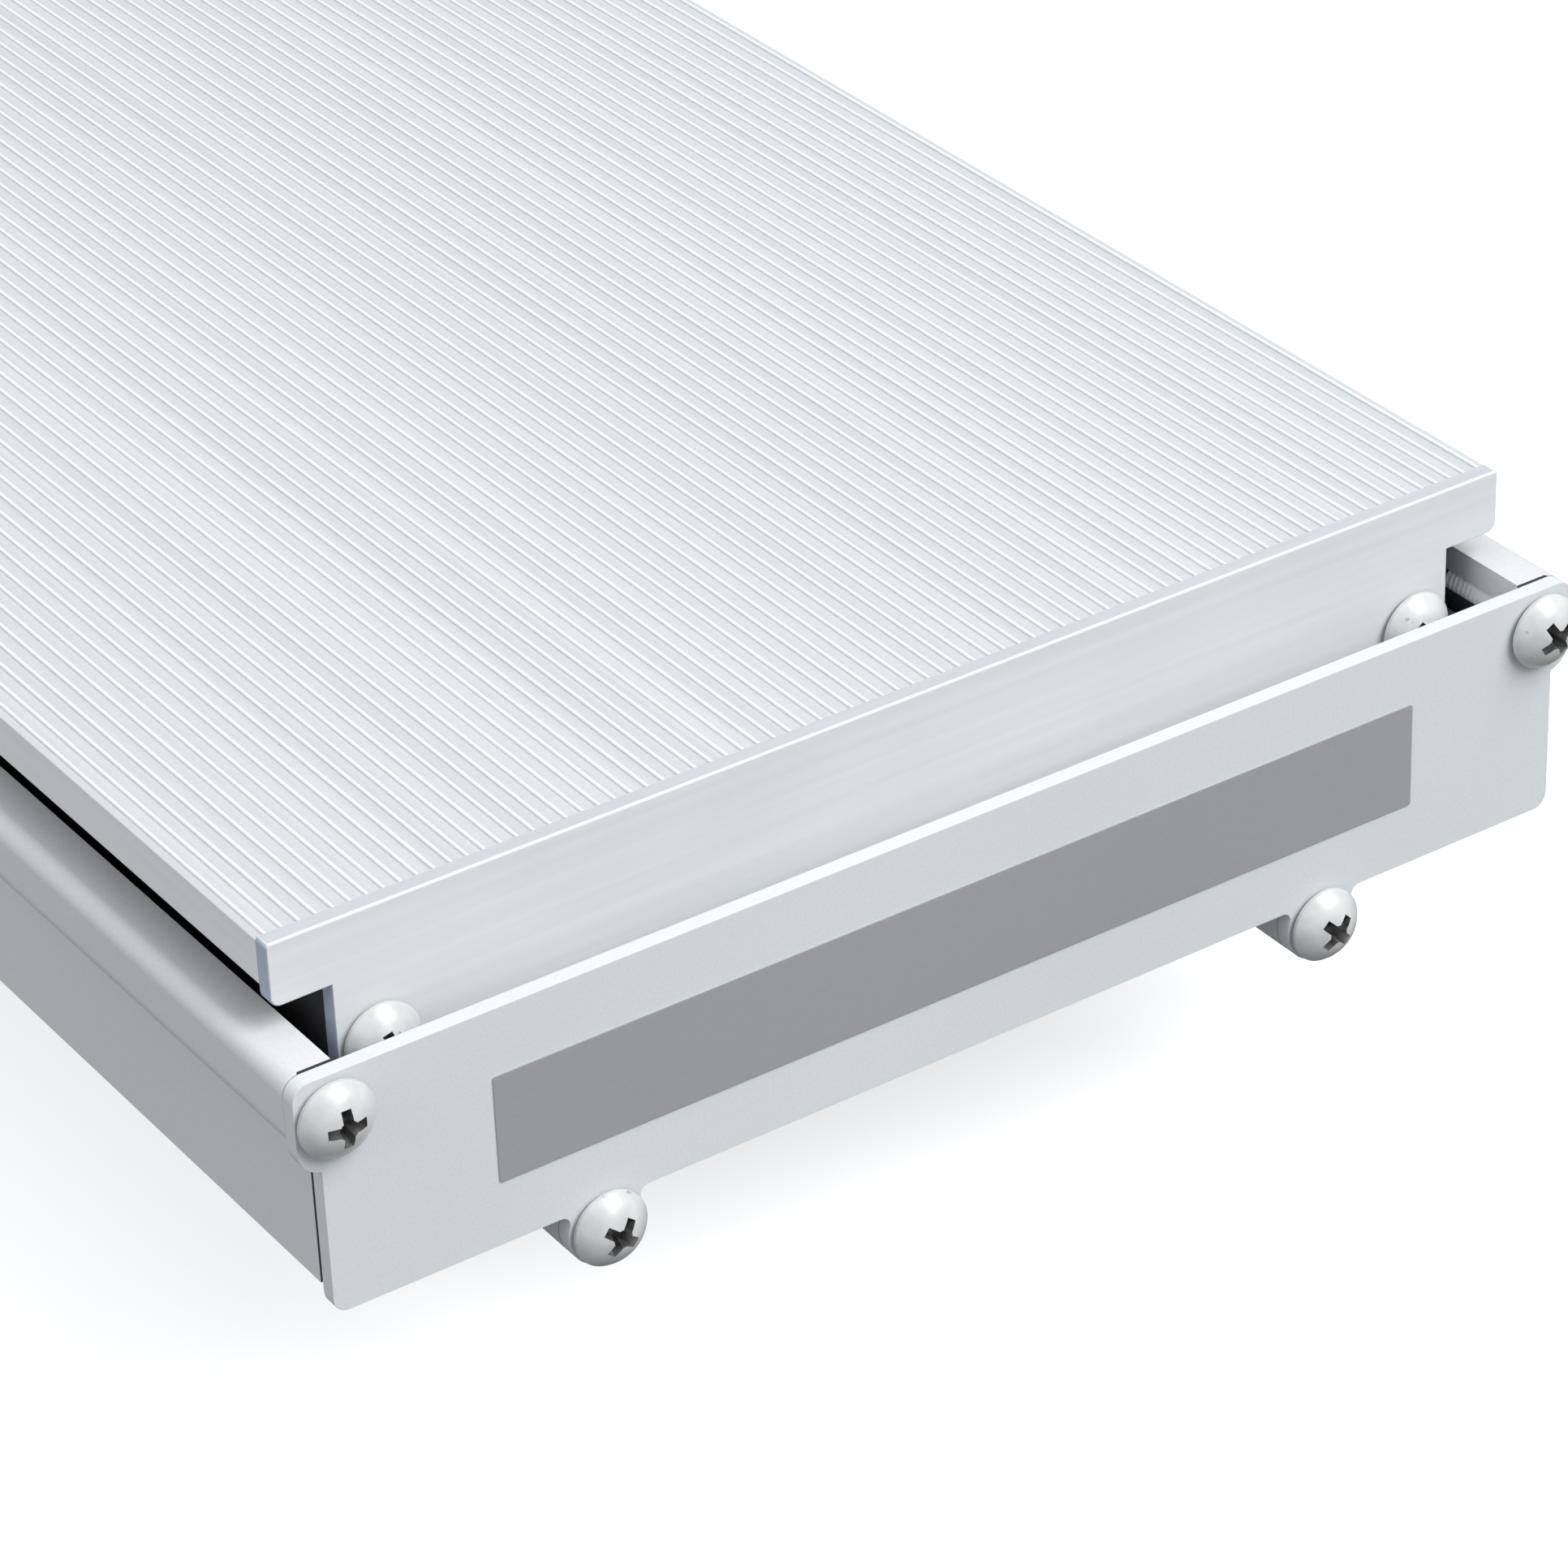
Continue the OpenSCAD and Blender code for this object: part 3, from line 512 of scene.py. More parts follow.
tee_skin = rolled_sheet("rolled_tee_sheet", (0.80, 0.825, 0.835), 0.42, (1, 0.02, 1), drift=0.94)
# The flat top edge of a T-plate is painted darker than its face: painted shade.
tee_top_shade = rolled_sheet("top_edge_painted_shade", (0.58, 0.605, 0.64), 0.42, (1, 0.05, 1))
# The flange sides are the emitter's own anodising painted paler than its top: painted light.
flange_lightened = rolled_sheet("anodised_flange", (0.90, 0.91, 0.92), 0.45, (0.02, 1, 1))
cut_edge = rolled_sheet("sheared_edge", (0.52, 0.60, 0.74), 0.4, (0.05, 1, 1), metallic=0.15)
# A near-black sheet finish for faces under the flanges, inside the casing and on its end chamfers: painted
# shade.
painted_shade_dark = rolled_sheet("painted_inside_shade", (0.035, 0.035, 0.04), 0.7, (0.02, 1, 1))
print("sheet finishes made")

# %% [markdown]
# ### Screws, label and small metal
# The end screws are painted white. Their recess and the neck under the head get a second, darker finish,
# which is painted shade. The label is a grey satin film. Zinc plate is mottled, brass is warm and a
# little dull, and stainless strip is brushed.

# %% Painted screws and the painted shade of their recesses
def screw_paint(name):
    """White enamel with small chips and a slightly uneven gloss."""
    white = (0.72, 0.73, 0.73)
    finish, shader = new_finish(name, white, 0.34)
    cloud = grain(finish, 420, detail=4).outputs["Fac"]
    chips = grain(finish, 750, detail=4).outputs["Fac"]
    body = tint(finish, cloud, shade(white, 0.84), white)
    bare = tint(finish, chips, (0.6, 0.6, 0.58), (1, 1, 1), 0.25, 0.31)
    wire(finish, blend_colour(finish, 1.0, body, bare, "MULTIPLY"), shader.inputs["Base Color"])
    vary(finish, cloud, shader.inputs["Roughness"], 0.24, 0.42)
    shader.inputs["Coat Weight"].default_value = 0.3
    shader.inputs["Coat Roughness"].default_value = 0.15
    raise_grain(finish, shader, [(cloud, 0.45)], 0.08 * MM)
    return finish


def plated(name, dark, light, roughness, scale=140, metallic=0.9):
    """Plated or bare metal with a mottle between two tones."""
    finish, shader = new_finish(name, light, roughness, metallic)
    mottle = grain(finish, scale, detail=4).outputs["Fac"]
    speck = grain(finish, scale * 12, detail=1).outputs["Fac"]
    body = tint(finish, mottle, dark, light)
    dust = tint(finish, speck, (0.9, 0.9, 0.9), (1, 1, 1))
    wire(finish, blend_colour(finish, 1.0, body, dust, "MULTIPLY"), shader.inputs["Base Color"])
    vary(finish, mottle, shader.inputs["Roughness"], roughness - 0.08, roughness + 0.12)
    raise_grain(finish, shader, [(speck, 0.12)], 0.02 * MM)
    return finish


screw_white = screw_paint("screw_enamel")
# The recess and the neck under a screw head get this dark mottle: painted shade.
recess_shade = plated("painted_recess_shade", (0.07, 0.07, 0.07), (0.34, 0.34, 0.33), 0.36, 600, 0.5)
zinc = plated("zinc_plate", (0.50, 0.51, 0.53), (0.66, 0.67, 0.68), 0.34)
brass = plated("dull_brass", (0.52, 0.36, 0.13), (0.70, 0.52, 0.22), 0.33)
nickel = plated("nickel_plate", (0.50, 0.47, 0.42), (0.66, 0.63, 0.57), 0.26)
print("screw and plating finishes made")

# %% Label film, stainless strip and foil
def satin_film(name, colour):
    """Printed satin film: a fine even tooth and a very slow drift of tone."""
    finish, shader = new_finish(name, colour, 0.4)
    tooth = grain(finish, 1800, detail=2).outputs["Fac"]
    cloud = grain(finish, 14, detail=1).outputs["Fac"]
    base = tint(finish, cloud, shade(colour, 0.98), shade(colour, 1.02))
    fine = tint(finish, tooth, (0.96, 0.96, 0.96), (1, 1, 1))
    wire(finish, blend_colour(finish, 1.0, base, fine, "MULTIPLY"), shader.inputs["Base Color"])
    vary(finish, tooth, shader.inputs["Roughness"], 0.36, 0.46)
    raise_grain(finish, shader, [(tooth, 0.15)], 0.01 * MM)
    return finish


label_film = satin_film("grey_label_film", (0.385, 0.388, 0.40))
stainless = rolled_sheet("brushed_stainless", (0.56, 0.55, 0.53), 0.34, (0.02, 1, 1), 0.9)
retainer = rolled_sheet("spring_steel_strip", (0.42, 0.41, 0.40), 0.4, (0.02, 1, 1), 0.9)


def crumpled_foil(name):
    """Aluminium foil with soft creases."""
    colour = (0.80, 0.81, 0.82)
    finish, shader = new_finish(name, colour, 0.22, 1.0)
    creases = grain(finish, 60, kind="ShaderNodeTexVoronoi").outputs["Distance"]
    fine = grain(finish, 300, detail=3).outputs["Fac"]
    wire(finish, tint(finish, fine, shade(colour, 0.9), colour), shader.inputs["Base Color"])
    vary(finish, fine, shader.inputs["Roughness"], 0.15, 0.32)
    raise_grain(finish, shader, [(creases, 0.5), (fine, 0.3)], 0.3 * MM)
    return finish


foil = crumpled_foil("crumpled_foil")
print("film, strip and foil made")

# %% [markdown]
# ### Heat, insulation and wiring
# The sheath of a heating element is oxidised steel with a straw and blue tint where it runs hot. Its
# bushes are glazed ceramic, the board is pressed mineral fibre, and the leads have braided glass sleeves,
# the earth one striped green and yellow.

# %% Element sheath, ceramic and fibre board
def hot_sheath(name):
    """Oxidised sheath whose tint changes slowly along the element."""
    finish, shader = new_finish(name, (0.12, 0.11, 0.1), 0.5, 0.7)
    bands = grain(finish, 14, stretch=(1, 0.4, 0.4), detail=2).outputs["Fac"]
    scale = grain(finish, 900, detail=4).outputs["Fac"]
    heat = tint(finish, bands, (0.16, 0.11, 0.07), (0.08, 0.09, 0.12), 0.4, 0.6)
    oxide = tint(finish, scale, (0.6, 0.6, 0.6), (1, 1, 1))
    wire(finish, blend_colour(finish, 1.0, heat, oxide, "MULTIPLY"), shader.inputs["Base Color"])
    vary(finish, scale, shader.inputs["Roughness"], 0.38, 0.65)
    raise_grain(finish, shader, [(scale, 0.3)], 0.04 * MM)
    return finish


def glazed_ceramic(name):
    """Off-white glaze with pin holes and a cream drift."""
    finish, shader = new_finish(name, (0.78, 0.76, 0.7), 0.25)
    drift = grain(finish, 90, detail=3).outputs["Fac"]
    pits = grain(finish, 1500, kind="ShaderNodeTexVoronoi").outputs["Distance"]
    glaze = tint(finish, drift, (0.74, 0.71, 0.63), (0.82, 0.80, 0.75))
    spots = tint(finish, pits, (0.55, 0.5, 0.42), (1, 1, 1), 0.02, 0.12)
    wire(finish, blend_colour(finish, 1.0, glaze, spots, "MULTIPLY"), shader.inputs["Base Color"])
    shader.inputs["Coat Weight"].default_value = 0.4
    vary(finish, drift, shader.inputs["Roughness"], 0.2, 0.4)
    raise_grain(finish, shader, [(pits, 0.15)], 0.04 * MM)
    return finish


def mineral_board(name):
    """Pressed fibre board: matted fibres and pale flakes."""
    finish, shader = new_finish(name, (0.6, 0.55, 0.42), 0.9)
    fibre = grain(finish, 500, stretch=(0.3, 1, 2), detail=5).outputs["Fac"]
    flake = grain(finish, 260, kind="ShaderNodeTexVoronoi").outputs["Distance"]
    mat = tint(finish, fibre, (0.46, 0.41, 0.30), (0.68, 0.63, 0.50))
    pale = tint(finish, flake, (1, 1, 1), (0.82, 0.82, 0.8), 0.1, 0.5)
    wire(finish, blend_colour(finish, 1.0, mat, pale, "MULTIPLY"), shader.inputs["Base Color"])
    raise_grain(finish, shader, [(fibre, 0.7), (flake, 0.4)], 0.15 * MM)
    return finish


element_sheath = hot_sheath("oxidised_sheath")
ceramic = glazed_ceramic("glazed_ceramic")
fibre_board = mineral_board("mineral_board")
print("heat finishes made")

# %% Sleeves, plastic and rubber
def braided_sleeve(name, colour, stripe=None):
    """Braided glass sleeve, with a second colour in bands if it has one."""
    finish, shader = new_finish(name, colour, 0.62)
    braid = grain(finish, 700, kind="ShaderNodeTexVoronoi").outputs["Distance"]
    threads = tint(finish, braid, colour, shade(colour, 0.45), 0.1, 0.8)
    if stripe:
        bands = grain(finish, 70, kind="ShaderNodeTexWave").outputs["Fac"]
        second = tint(finish, braid, stripe, shade(stripe, 0.45), 0.1, 0.8)
        edge = tint(finish, bands, (0, 0, 0), (1, 1, 1), 0.48, 0.52)
        threads = blend_colour(finish, edge, threads, second)
    wire(finish, threads, shader.inputs["Base Color"])
    raise_grain(finish, shader, [(braid, 0.6)], 0.15 * MM)
    return finish


def moulded(name, colour, roughness, texture):
    """Moulded plastic or rubber with a fine spark-eroded texture."""
    finish, shader = new_finish(name, colour, roughness)
    leather = grain(finish, texture, detail=2).outputs["Fac"]
    drift = grain(finish, 60, detail=2).outputs["Fac"]
    wire(finish, tint(finish, drift, shade(colour, 0.88), shade(colour, 1.1)), shader.inputs["Base Color"])
    vary(finish, leather, shader.inputs["Roughness"], roughness - 0.08, roughness + 0.1)
    raise_grain(finish, shader, [(leather, 0.35)], 0.06 * MM)
    return finish


brown_sleeve = braided_sleeve("brown_braid", (0.24, 0.11, 0.05))
grey_sleeve = braided_sleeve("grey_braid", (0.30, 0.30, 0.31))
blue_sleeve = braided_sleeve("blue_braid", (0.06, 0.19, 0.50))
earth_sleeve = braided_sleeve("earth_braid", (0.10, 0.38, 0.08), (0.72, 0.62, 0.05))
gland_plastic = moulded("gland_nylon", (0.11, 0.115, 0.12), 0.45, 1600)
gland_rubber = moulded("seal_rubber", (0.025, 0.025, 0.027), 0.7, 900)


def glowing_paper(name):
    """White paper with a fine tooth and a faint even glow."""
    white = (0.93, 0.93, 0.93)
    finish, shader = new_finish(name, white, 0.9)
    tooth = grain(finish, 700, detail=2).outputs["Fac"]
    wire(finish, tint(finish, tooth, shade(white, 0.98), white), shader.inputs["Base Color"])
    shader.inputs["Emission Color"].default_value = (1, 1, 1, 1)
    shader.inputs["Emission Strength"].default_value = FLOOR_GLOW
    return finish


floor.data.materials.append(glowing_paper("light_table_paper"))
print("finishes", len(bpy.data.materials))

# %% [markdown]
# ## Emitter panel
# The heated face is an extrusion with eighty low ribs. The press leaves small radii on every arris that
# runs along the extrusion, and the saw leaves the cut ends sharp. So only the edges along X are rounded,
# the ribs almost to a half round. The walls below the flange and the faces that look down are painted
# dark as painted shade, and the flange sides get a paler copy of the anodising as painted light.

# %% Round the ribs and the outer arrises
CREST_ROUND = 0.23 * MM
ARRIS_ROUND = 0.25 * MM

emitter = merged_copy("emitter_panel", "emitter_panel_ribbed")
crests = round_edges(emitter, CREST_ROUND, 4,
                     lambda e: runs_along(e, 0) and lies_at(e, 2, rib_top))
flange_z = rib_top - FLANGE_HEIGHT


def is_flange_arris(edge):
    """Says whether an edge is one of the long outer edges of the side flanges."""
    outer = all(abs(abs(v.co.y) - emitter_high.y) < NEAR for v in edge.verts)
    return runs_along(edge, 0) and outer


arrises = round_edges(emitter, ARRIS_ROUND, 3, is_flange_arris)
print("rounded", crests, "crest edges and", arrises, "arrises")

# %% Paint shade on what lies under the flanges, and light on the flange sides
UNDER_PLAY = 0.1 * MM
SIDE_BAND = 0.5 * MM
SIDE_FACING = 0.6


def emitter_finish(face):
    """Says which finish a face of the emitter gets: ribbed top, flange side made paler as painted light,
    or painted shade under the flanges.
    """
    if face.center.z < flange_z - UNDER_PLAY or face.normal.z < -FACING:
        return 2
    on_side = abs(face.normal.y) > SIDE_FACING and abs(face.center.y) > emitter_high.y - SIDE_BAND
    return 1 if on_side else 0


coat(emitter, [emitter_skin, flange_lightened, painted_shade_dark], emitter_finish)
smooth(emitter)
dress(emitter, "emitter_skin", "emitter_panel")

# %% [markdown]
# ## Casing
# The casing is the second extrusion: floor, side walls, two bulging side rails that the corner screws
# enter, and two round rails below the floor. It gets the same radii along X. The long edges of its sawn
# ends are deburred with a small chamfer. The chamfer and the inside of the casing are painted dark as
# painted shade, which gives the fine dark line that shows beside each end plate.
# Short edges, round the screw ports, are left out, because they would hold the chamfer back.

# %% Round the casing and chamfer its ends
WALL_ROUND = 0.4 * MM
END_CHAMFER = 0.45 * MM
LONG_EDGE = 2.5 * MM

casing = merged_copy("casing", "casing_extrusion")
ends = 0
for end_x in (casing_low.x, casing_high.x):
    ends += round_edges(casing, END_CHAMFER, 1,
                        lambda e: lies_at(e, 0, end_x) and e.calc_length() > LONG_EDGE, clamp=False)
corners = round_edges(casing, WALL_ROUND, 3, lambda e: runs_along(e, 0) and e.is_convex)
print("rounded", corners, "corners and chamfered", ends, "end edges")

# %% Paint shade inside the casing and on its end chamfers
RAIL_WIDTH = 6.6 * MM
TROUGH_DEPTH = 28.5 * MM
CHAMFER_FACING = 0.2

rail_inner = casing_high.y - RAIL_WIDTH
trough_z = casing_high.z - TROUGH_DEPTH


def casing_finish(face):
    """Says whether a face of the casing gets painted shade: inside its walls, or on a sawn end's chamfer.
    """
    inside = abs(face.center.y) < rail_inner and face.center.z > trough_z
    return 1 if inside or abs(face.normal.x) > CHAMFER_FACING else 0


coat(casing, [casing_coat, painted_shade_dark], casing_finish)
smooth(casing)
dress(casing, "casing_coat", "casing")

# %% [markdown]
# ## End plates
# The plates are punched from sheet. Punching rolls the front edge over a little and leaves the cut face
# bare on the emitter's T-shaped plates, so their side edges get the sheared finish. Their flat top edge is
# painted darker, as painted shade. The casing's plates are coated all round, their upright sides in the
# casing's own coat. Each plate is a merged copy with its front and back outline rounded.

# %% Round the end plates
PUNCH_ROUND = 0.3 * MM
TEE_ROUND = 0.5 * MM
BACK_ROUND = 0.2 * MM
SHEARED_FACING = 0.5
SHADED_TOP_FACING = 0.97


def punched_plate(node, name, front_round):
    """Returns a copy of a plate node with a rounded outer outline and a softened inner one."""
    plate = merged_copy(node, name)
    low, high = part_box(node)
    front_x, back_x = (high.x, low.x) if high.x > 0 else (low.x, high.x)
    round_edges(plate, front_round, 3, lambda e: lies_at(e, 0, front_x))
    round_edges(plate, BACK_ROUND, 2, lambda e: lies_at(e, 0, back_x))
    return plate


def tee_finish(face):
    """Says which finish a face of a T-plate gets: rolled face, sheared side or a top painted darker as
    painted shade.
    """
    if abs(face.normal.y) > SHEARED_FACING:
        return 1
    return 2 if face.normal.z > SHADED_TOP_FACING else 0


for end in ("front", "rear"):
    casing_plate = punched_plate(f"casing_end_plate_{end}", f"casing_plate_{end}", PUNCH_ROUND)
    coat(casing_plate, [end_plate_coat, casing_coat], lambda f: 1 if abs(f.normal.y) > FACING else 0)
    smooth(casing_plate)
    dress(casing_plate, "end_plate_coat", f"casing_end_plate_{end}")
    tee_plate = punched_plate(f"emitter_end_plate_{end}", f"tee_plate_{end}", TEE_ROUND)
    coat(tee_plate, [tee_skin, cut_edge, tee_top_shade], tee_finish)
    smooth(tee_plate)
    dress(tee_plate, "tee_plate_skin", f"emitter_end_plate_{end}")

# %% [markdown]
# ## Name plate
# The label is a thin grey film without any print. It is modelled from a cube: its corners and its rim are
# rounded, and its face is inset once, which keeps the flat of the film flat beside its soft rim.

# %% Model the blank name plate
def slab(name, low, high):
    """Adds a cube primitive that fills the box between two corners, placed in its mesh."""
    bpy.ops.object.select_all(action="DESELECT")
    bpy.ops.mesh.primitive_cube_add(size=1, location=(low + high) / 2, scale=high - low)
    bpy.ops.object.transform_apply(location=True, rotation=True, scale=True)
    bpy.context.object.name = name
    return bpy.context.object


FILM_CORNER = 0.4 * MM
FILM_ROUND = 0.06 * MM
FILM_BORDER = 0.25 * MM
FILM_FACING = 0.99

film = slab("label_film_blank", *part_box("name_plate"))
film_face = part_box("name_plate")[1].x
film_corners = round_edges(film, FILM_CORNER, 4, lambda e: runs_along(e, 0))
film_rim = round_edges(film, FILM_ROUND, 2, lambda e: lies_at(e, 0, film_face))
open_edit(film, "FACE")
pick(film, "faces", lambda f: f.normal.x > FILM_FACING)
bpy.ops.mesh.inset(thickness=FILM_BORDER)
close_edit()
print("rounded", film_corners, "corners and", film_rim, "rim edges")
coat(film, [label_film])
smooth(film)
dress(film, "label_film", "name_plate")

# %% [markdown]
# ## Pan-head screws
# A pan head is a low dome on a short rim, with a tapered cross recess. The dome is a ball cut by a plane,
# the rim is its cut face pulled down, a narrow neck painted dark gives a painted shadow line above the
# seat, and the recess is cut by two tapered blades and a cone, its faces painted dark as painted shade.
# The thread is a small triangle wound round the shank by the Screw modifier. One screw is modelled for
# each size, standing on its seat with its head up, and then copied to every seat.

# %% Primitives that end up in their own mesh
def turned(name, vertices, radius_low, radius_high, z_low, z_high):
    """Adds a cone primitive, or a cylinder where both radii are equal, between two heights."""
    bpy.ops.object.select_all(action="DESELECT")
    bpy.ops.mesh.primitive_cone_add(vertices=vertices, radius1=radius_low, radius2=radius_high,
                                    depth=z_high - z_low, location=(0, 0, (z_low + z_high) / 2))
    bpy.ops.object.transform_apply(location=True, rotation=True, scale=True)
    bpy.context.object.name = name
    return bpy.context.object


def cut(piece, tool, operation="DIFFERENCE"):
    """Cuts a piece with a tool, and removes the tool."""
    boolean = piece.modifiers.new("cut", "BOOLEAN")
    boolean.operation = operation
    boolean.object = tool
    boolean.solver = "EXACT"
    only(piece)
    bpy.ops.object.modifier_apply(modifier=boolean.name)
    bpy.data.objects.remove(tool)


def join(first, *others):
    """Joins objects into the first one."""
    only(first)
    for other in others:
        other.select_set(True)
    bpy.ops.object.join()
    return first


print("turning tools ready")

# %% Wind a thread
THREAD_STEPS = 16
CORE_SHARE = 0.42


def thread(radius, pitch, z_low, z_high):
    """Returns a ridge wound round the Z axis: a triangle turned and lifted by the Screw modifier."""
    bpy.ops.object.select_all(action="DESELECT")
    bpy.ops.mesh.primitive_circle_add(vertices=3, radius=pitch * 0.5, rotation=(pi / 2, 0, 0))
    bpy.ops.object.transform_apply(location=True, rotation=True, scale=True)
    ridge = bpy.context.object
    reach = max(v.co.x for v in ridge.data.vertices)
    ridge.data.transform(Matrix.Translation((radius - reach, 0, z_low + pitch / 2)))
    turns = max(1, int((z_high - z_low - pitch) / pitch))
    winding = ridge.modifiers.new("winding", "SCREW")
    winding.screw_offset = pitch
    winding.iterations = turns
    winding.steps = THREAD_STEPS
    winding.render_steps = THREAD_STEPS
    only(ridge)
    bpy.ops.object.modifier_apply(modifier=winding.name)
    open_edit(ridge)
    bpy.ops.mesh.select_all(action="SELECT")
    bpy.ops.mesh.remove_doubles(threshold=MERGE_DISTANCE)
    bpy.ops.mesh.fill_holes(sides=0)
    bpy.ops.mesh.normals_make_consistent(inside=False)
    close_edit()
    return ridge


print("threads wind in", THREAD_STEPS, "steps a turn")

# %% Turn a pan head and cut its cross
DOME_SEGMENTS = 56
DOME_RINGS = 60
RIM_SHARE = 0.25
RIM_ROUND_SHARE = 0.08
NECK_SHARE = 0.13
BLADE_TAPER = (0.5, 0.55, 1)
BLADE_LENGTH_SHARE = 0.64
BLADE_WIDTH_SHARE = 0.16
BLADE_LOW_SHARE = 0.3
CONE_TIP_SHARE = 0.05
CONE_MOUTH_SHARE = 0.155
CONE_LOW_SHARE = 0.25
SHANK_ROOT_SHARE = 0.2


def blade(length, width, z_low, z_high, angle):
    """Returns a tapered blade of a cross-recess cutter, turned about Z."""
    tool = slab("blade", Vector((-length / 2, -width / 2, z_low)),
                Vector((length / 2, width / 2, z_high)))
    open_edit(tool, "FACE")
    pick(tool, "faces", lambda f: f.normal.z < -FACING)
    bpy.ops.transform.resize(value=BLADE_TAPER)
    close_edit()
    tool.data.transform(Matrix.Rotation(angle, 4, "Z"))
    return tool


def pan_head(head_d, head_h):
    """Returns a pan head that stands on z = 0, still without its recess."""
    rim = head_h * RIM_SHARE
    neck = head_h * NECK_SHARE
    rise = head_h - rim
    dome_r = ((head_d / 2) ** 2 + rise ** 2) / (2 * rise)
    bpy.ops.object.select_all(action="DESELECT")
    bpy.ops.mesh.primitive_uv_sphere_add(segments=DOME_SEGMENTS, ring_count=DOME_RINGS,
                                         radius=dome_r, location=(0, 0, head_h - dome_r))
    bpy.ops.object.transform_apply(location=True, rotation=True, scale=True)
    head = bpy.context.object
    open_edit(head, "FACE")
    bpy.ops.mesh.select_all(action="SELECT")
    bpy.ops.mesh.bisect(plane_co=(0, 0, rim), plane_no=(0, 0, 1), use_fill=True, clear_inner=True)
    bpy.ops.mesh.select_all(action="DESELECT")
    pick(head, "faces", lambda f: f.normal.z < -FACING)
    bpy.ops.mesh.extrude_region_move(TRANSFORM_OT_translate={"value": (0, 0, neck - rim)})
    bpy.ops.mesh.inset(thickness=neck)
    bpy.ops.mesh.extrude_region_move(TRANSFORM_OT_translate={"value": (0, 0, -neck)})
    close_edit()
    round_edges(head, head_h * RIM_ROUND_SHARE, 3, lambda e: lies_at(e, 2, rim))
    return head


def pan_screw(finish, head_d, head_h, shank_d, length, pitch):
    """Returns a whole screw with its head's seat at z = 0 and its shank below it."""
    screw = pan_head(head_d, head_h)
    pair = [finish, recess_shade]
    # The neck under the head and every face the recess tools cut get the dark finish: painted shade.
    coat(screw, pair, lambda f: 1 if f.center.z < head_h * NECK_SHARE + MERGE_DISTANCE else 0)
    cone_low = head_h * CONE_LOW_SHARE
    blade_low = head_h * BLADE_LOW_SHARE
    cone = turned("cone", 16, head_d * CONE_TIP_SHARE, head_d * CONE_MOUTH_SHARE, cone_low,
                  cone_low + head_h)
    tools = [cone]
    for angle in (0, pi / 2):
        tools.append(blade(head_d * BLADE_LENGTH_SHARE, head_d * BLADE_WIDTH_SHARE, blade_low,
                           blade_low + head_h, angle))
    for tool in tools:
        coat(tool, pair, lambda f: 1)
        cut(screw, tool)
    core_r = shank_d * CORE_SHARE
    core = turned("shank", 24, core_r, core_r, -length, head_h * SHANK_ROOT_SHARE)
    ridge = thread(shank_d / 2, pitch, -length, -pitch)
    return join(screw, core, ridge)


print("screw tools ready")

# %% [markdown]
# ### Seats of the screws
# A seat is a point, the direction that the head faces, and how far the recess is turned. The end screws
# are symmetrical about both middles of the heater, so their seats come from the box of their CAD node:
# the rim of a head touches the side of the box, and its middle lies at half the height of the box.

# %% Copy a screw to its seats
def at_seat(point, facing, spin):
    """Returns the matrix that takes a screw from the origin to its seat."""
    turn_up = Vector(facing).to_track_quat("Z", "Y").to_matrix().to_4x4()
    return Matrix.Translation(point) @ turn_up @ Matrix.Rotation(spin, 4, "Z")


def copies(pattern, name, places):
    """Returns one object made of copies of a pattern, each with its own mesh, at a list of places."""
    made = []
    for place in places:
        item = bpy.data.objects.new(name, pattern.data.copy())
        scene.collection.objects.link(item)
        item.data.transform(place)
        made.append(item)
    whole = join(*made) if len(made) > 1 else made[0]
    whole.name = name
    return whole


def end_seats(node, seat_x, head_r, spins):
    """Returns the four seats of a group of end screws."""
    low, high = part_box(node)
    y = high.y - head_r
    z = (low.z + high.z) / 2
    corners = [(1, -1), (1, 1), (-1, -1), (-1, 1)]
    return [at_seat(Vector((end * seat_x, side * y, z)), (end, 0, 0), radians(spin))
            for (end, side), spin in zip(corners, spins)]


print("seats are read from the CAD boxes")

# %% Fit the end screws
HEAD_D = 10 * MM
HEAD_H = 3.7 * MM
SHANK_D = 5 * MM
SHANK_LENGTH = 16 * MM
SHANK_PITCH = 0.8 * MM

end_screw = pan_screw(screw_white, HEAD_D, HEAD_H, SHANK_D, SHANK_LENGTH, SHANK_PITCH)
end_groups = {
    "corner_screws": (end_face, (0, 30, 12, 55)),
    "rail_screws": (end_face, (52, 44, 20, 75)),
    "emitter_end_screws": (tee_face, (15, 35, 60, 5)),
}
for group, (seat_x, spins) in end_groups.items():
    seats = end_seats(group, seat_x, HEAD_D / 2, spins)
    screws = copies(end_screw, group + "_turned", seats)
    smooth(screws)
    dress(screws, "screw_plate", group)
bpy.data.objects.remove(end_screw)

# %% [markdown]
# ## Brackets
# Saddles and feet are folded from thick sheet, so their longer edges are softened, and the four corners
# of each foot are rounded more. The fasteners are ordinary hexagon ones: a bolt head has a turned chamfer
# on its corners, a locking nut has a collar, and the washers are punched.

# %% Soften the saddles and the feet
FOOT_CORNER = 5 * MM
SHEET_ROUND = 0.35 * MM
SHORTEST_EDGE = 1.5 * MM


def is_plate_corner(edge, low, high):
    """Says whether an edge is one of the four upright corners of a box."""
    on_x = lies_at(edge, 0, low.x) or lies_at(edge, 0, high.x)
    on_y = lies_at(edge, 1, low.y) or lies_at(edge, 1, high.y)
    return on_x and on_y


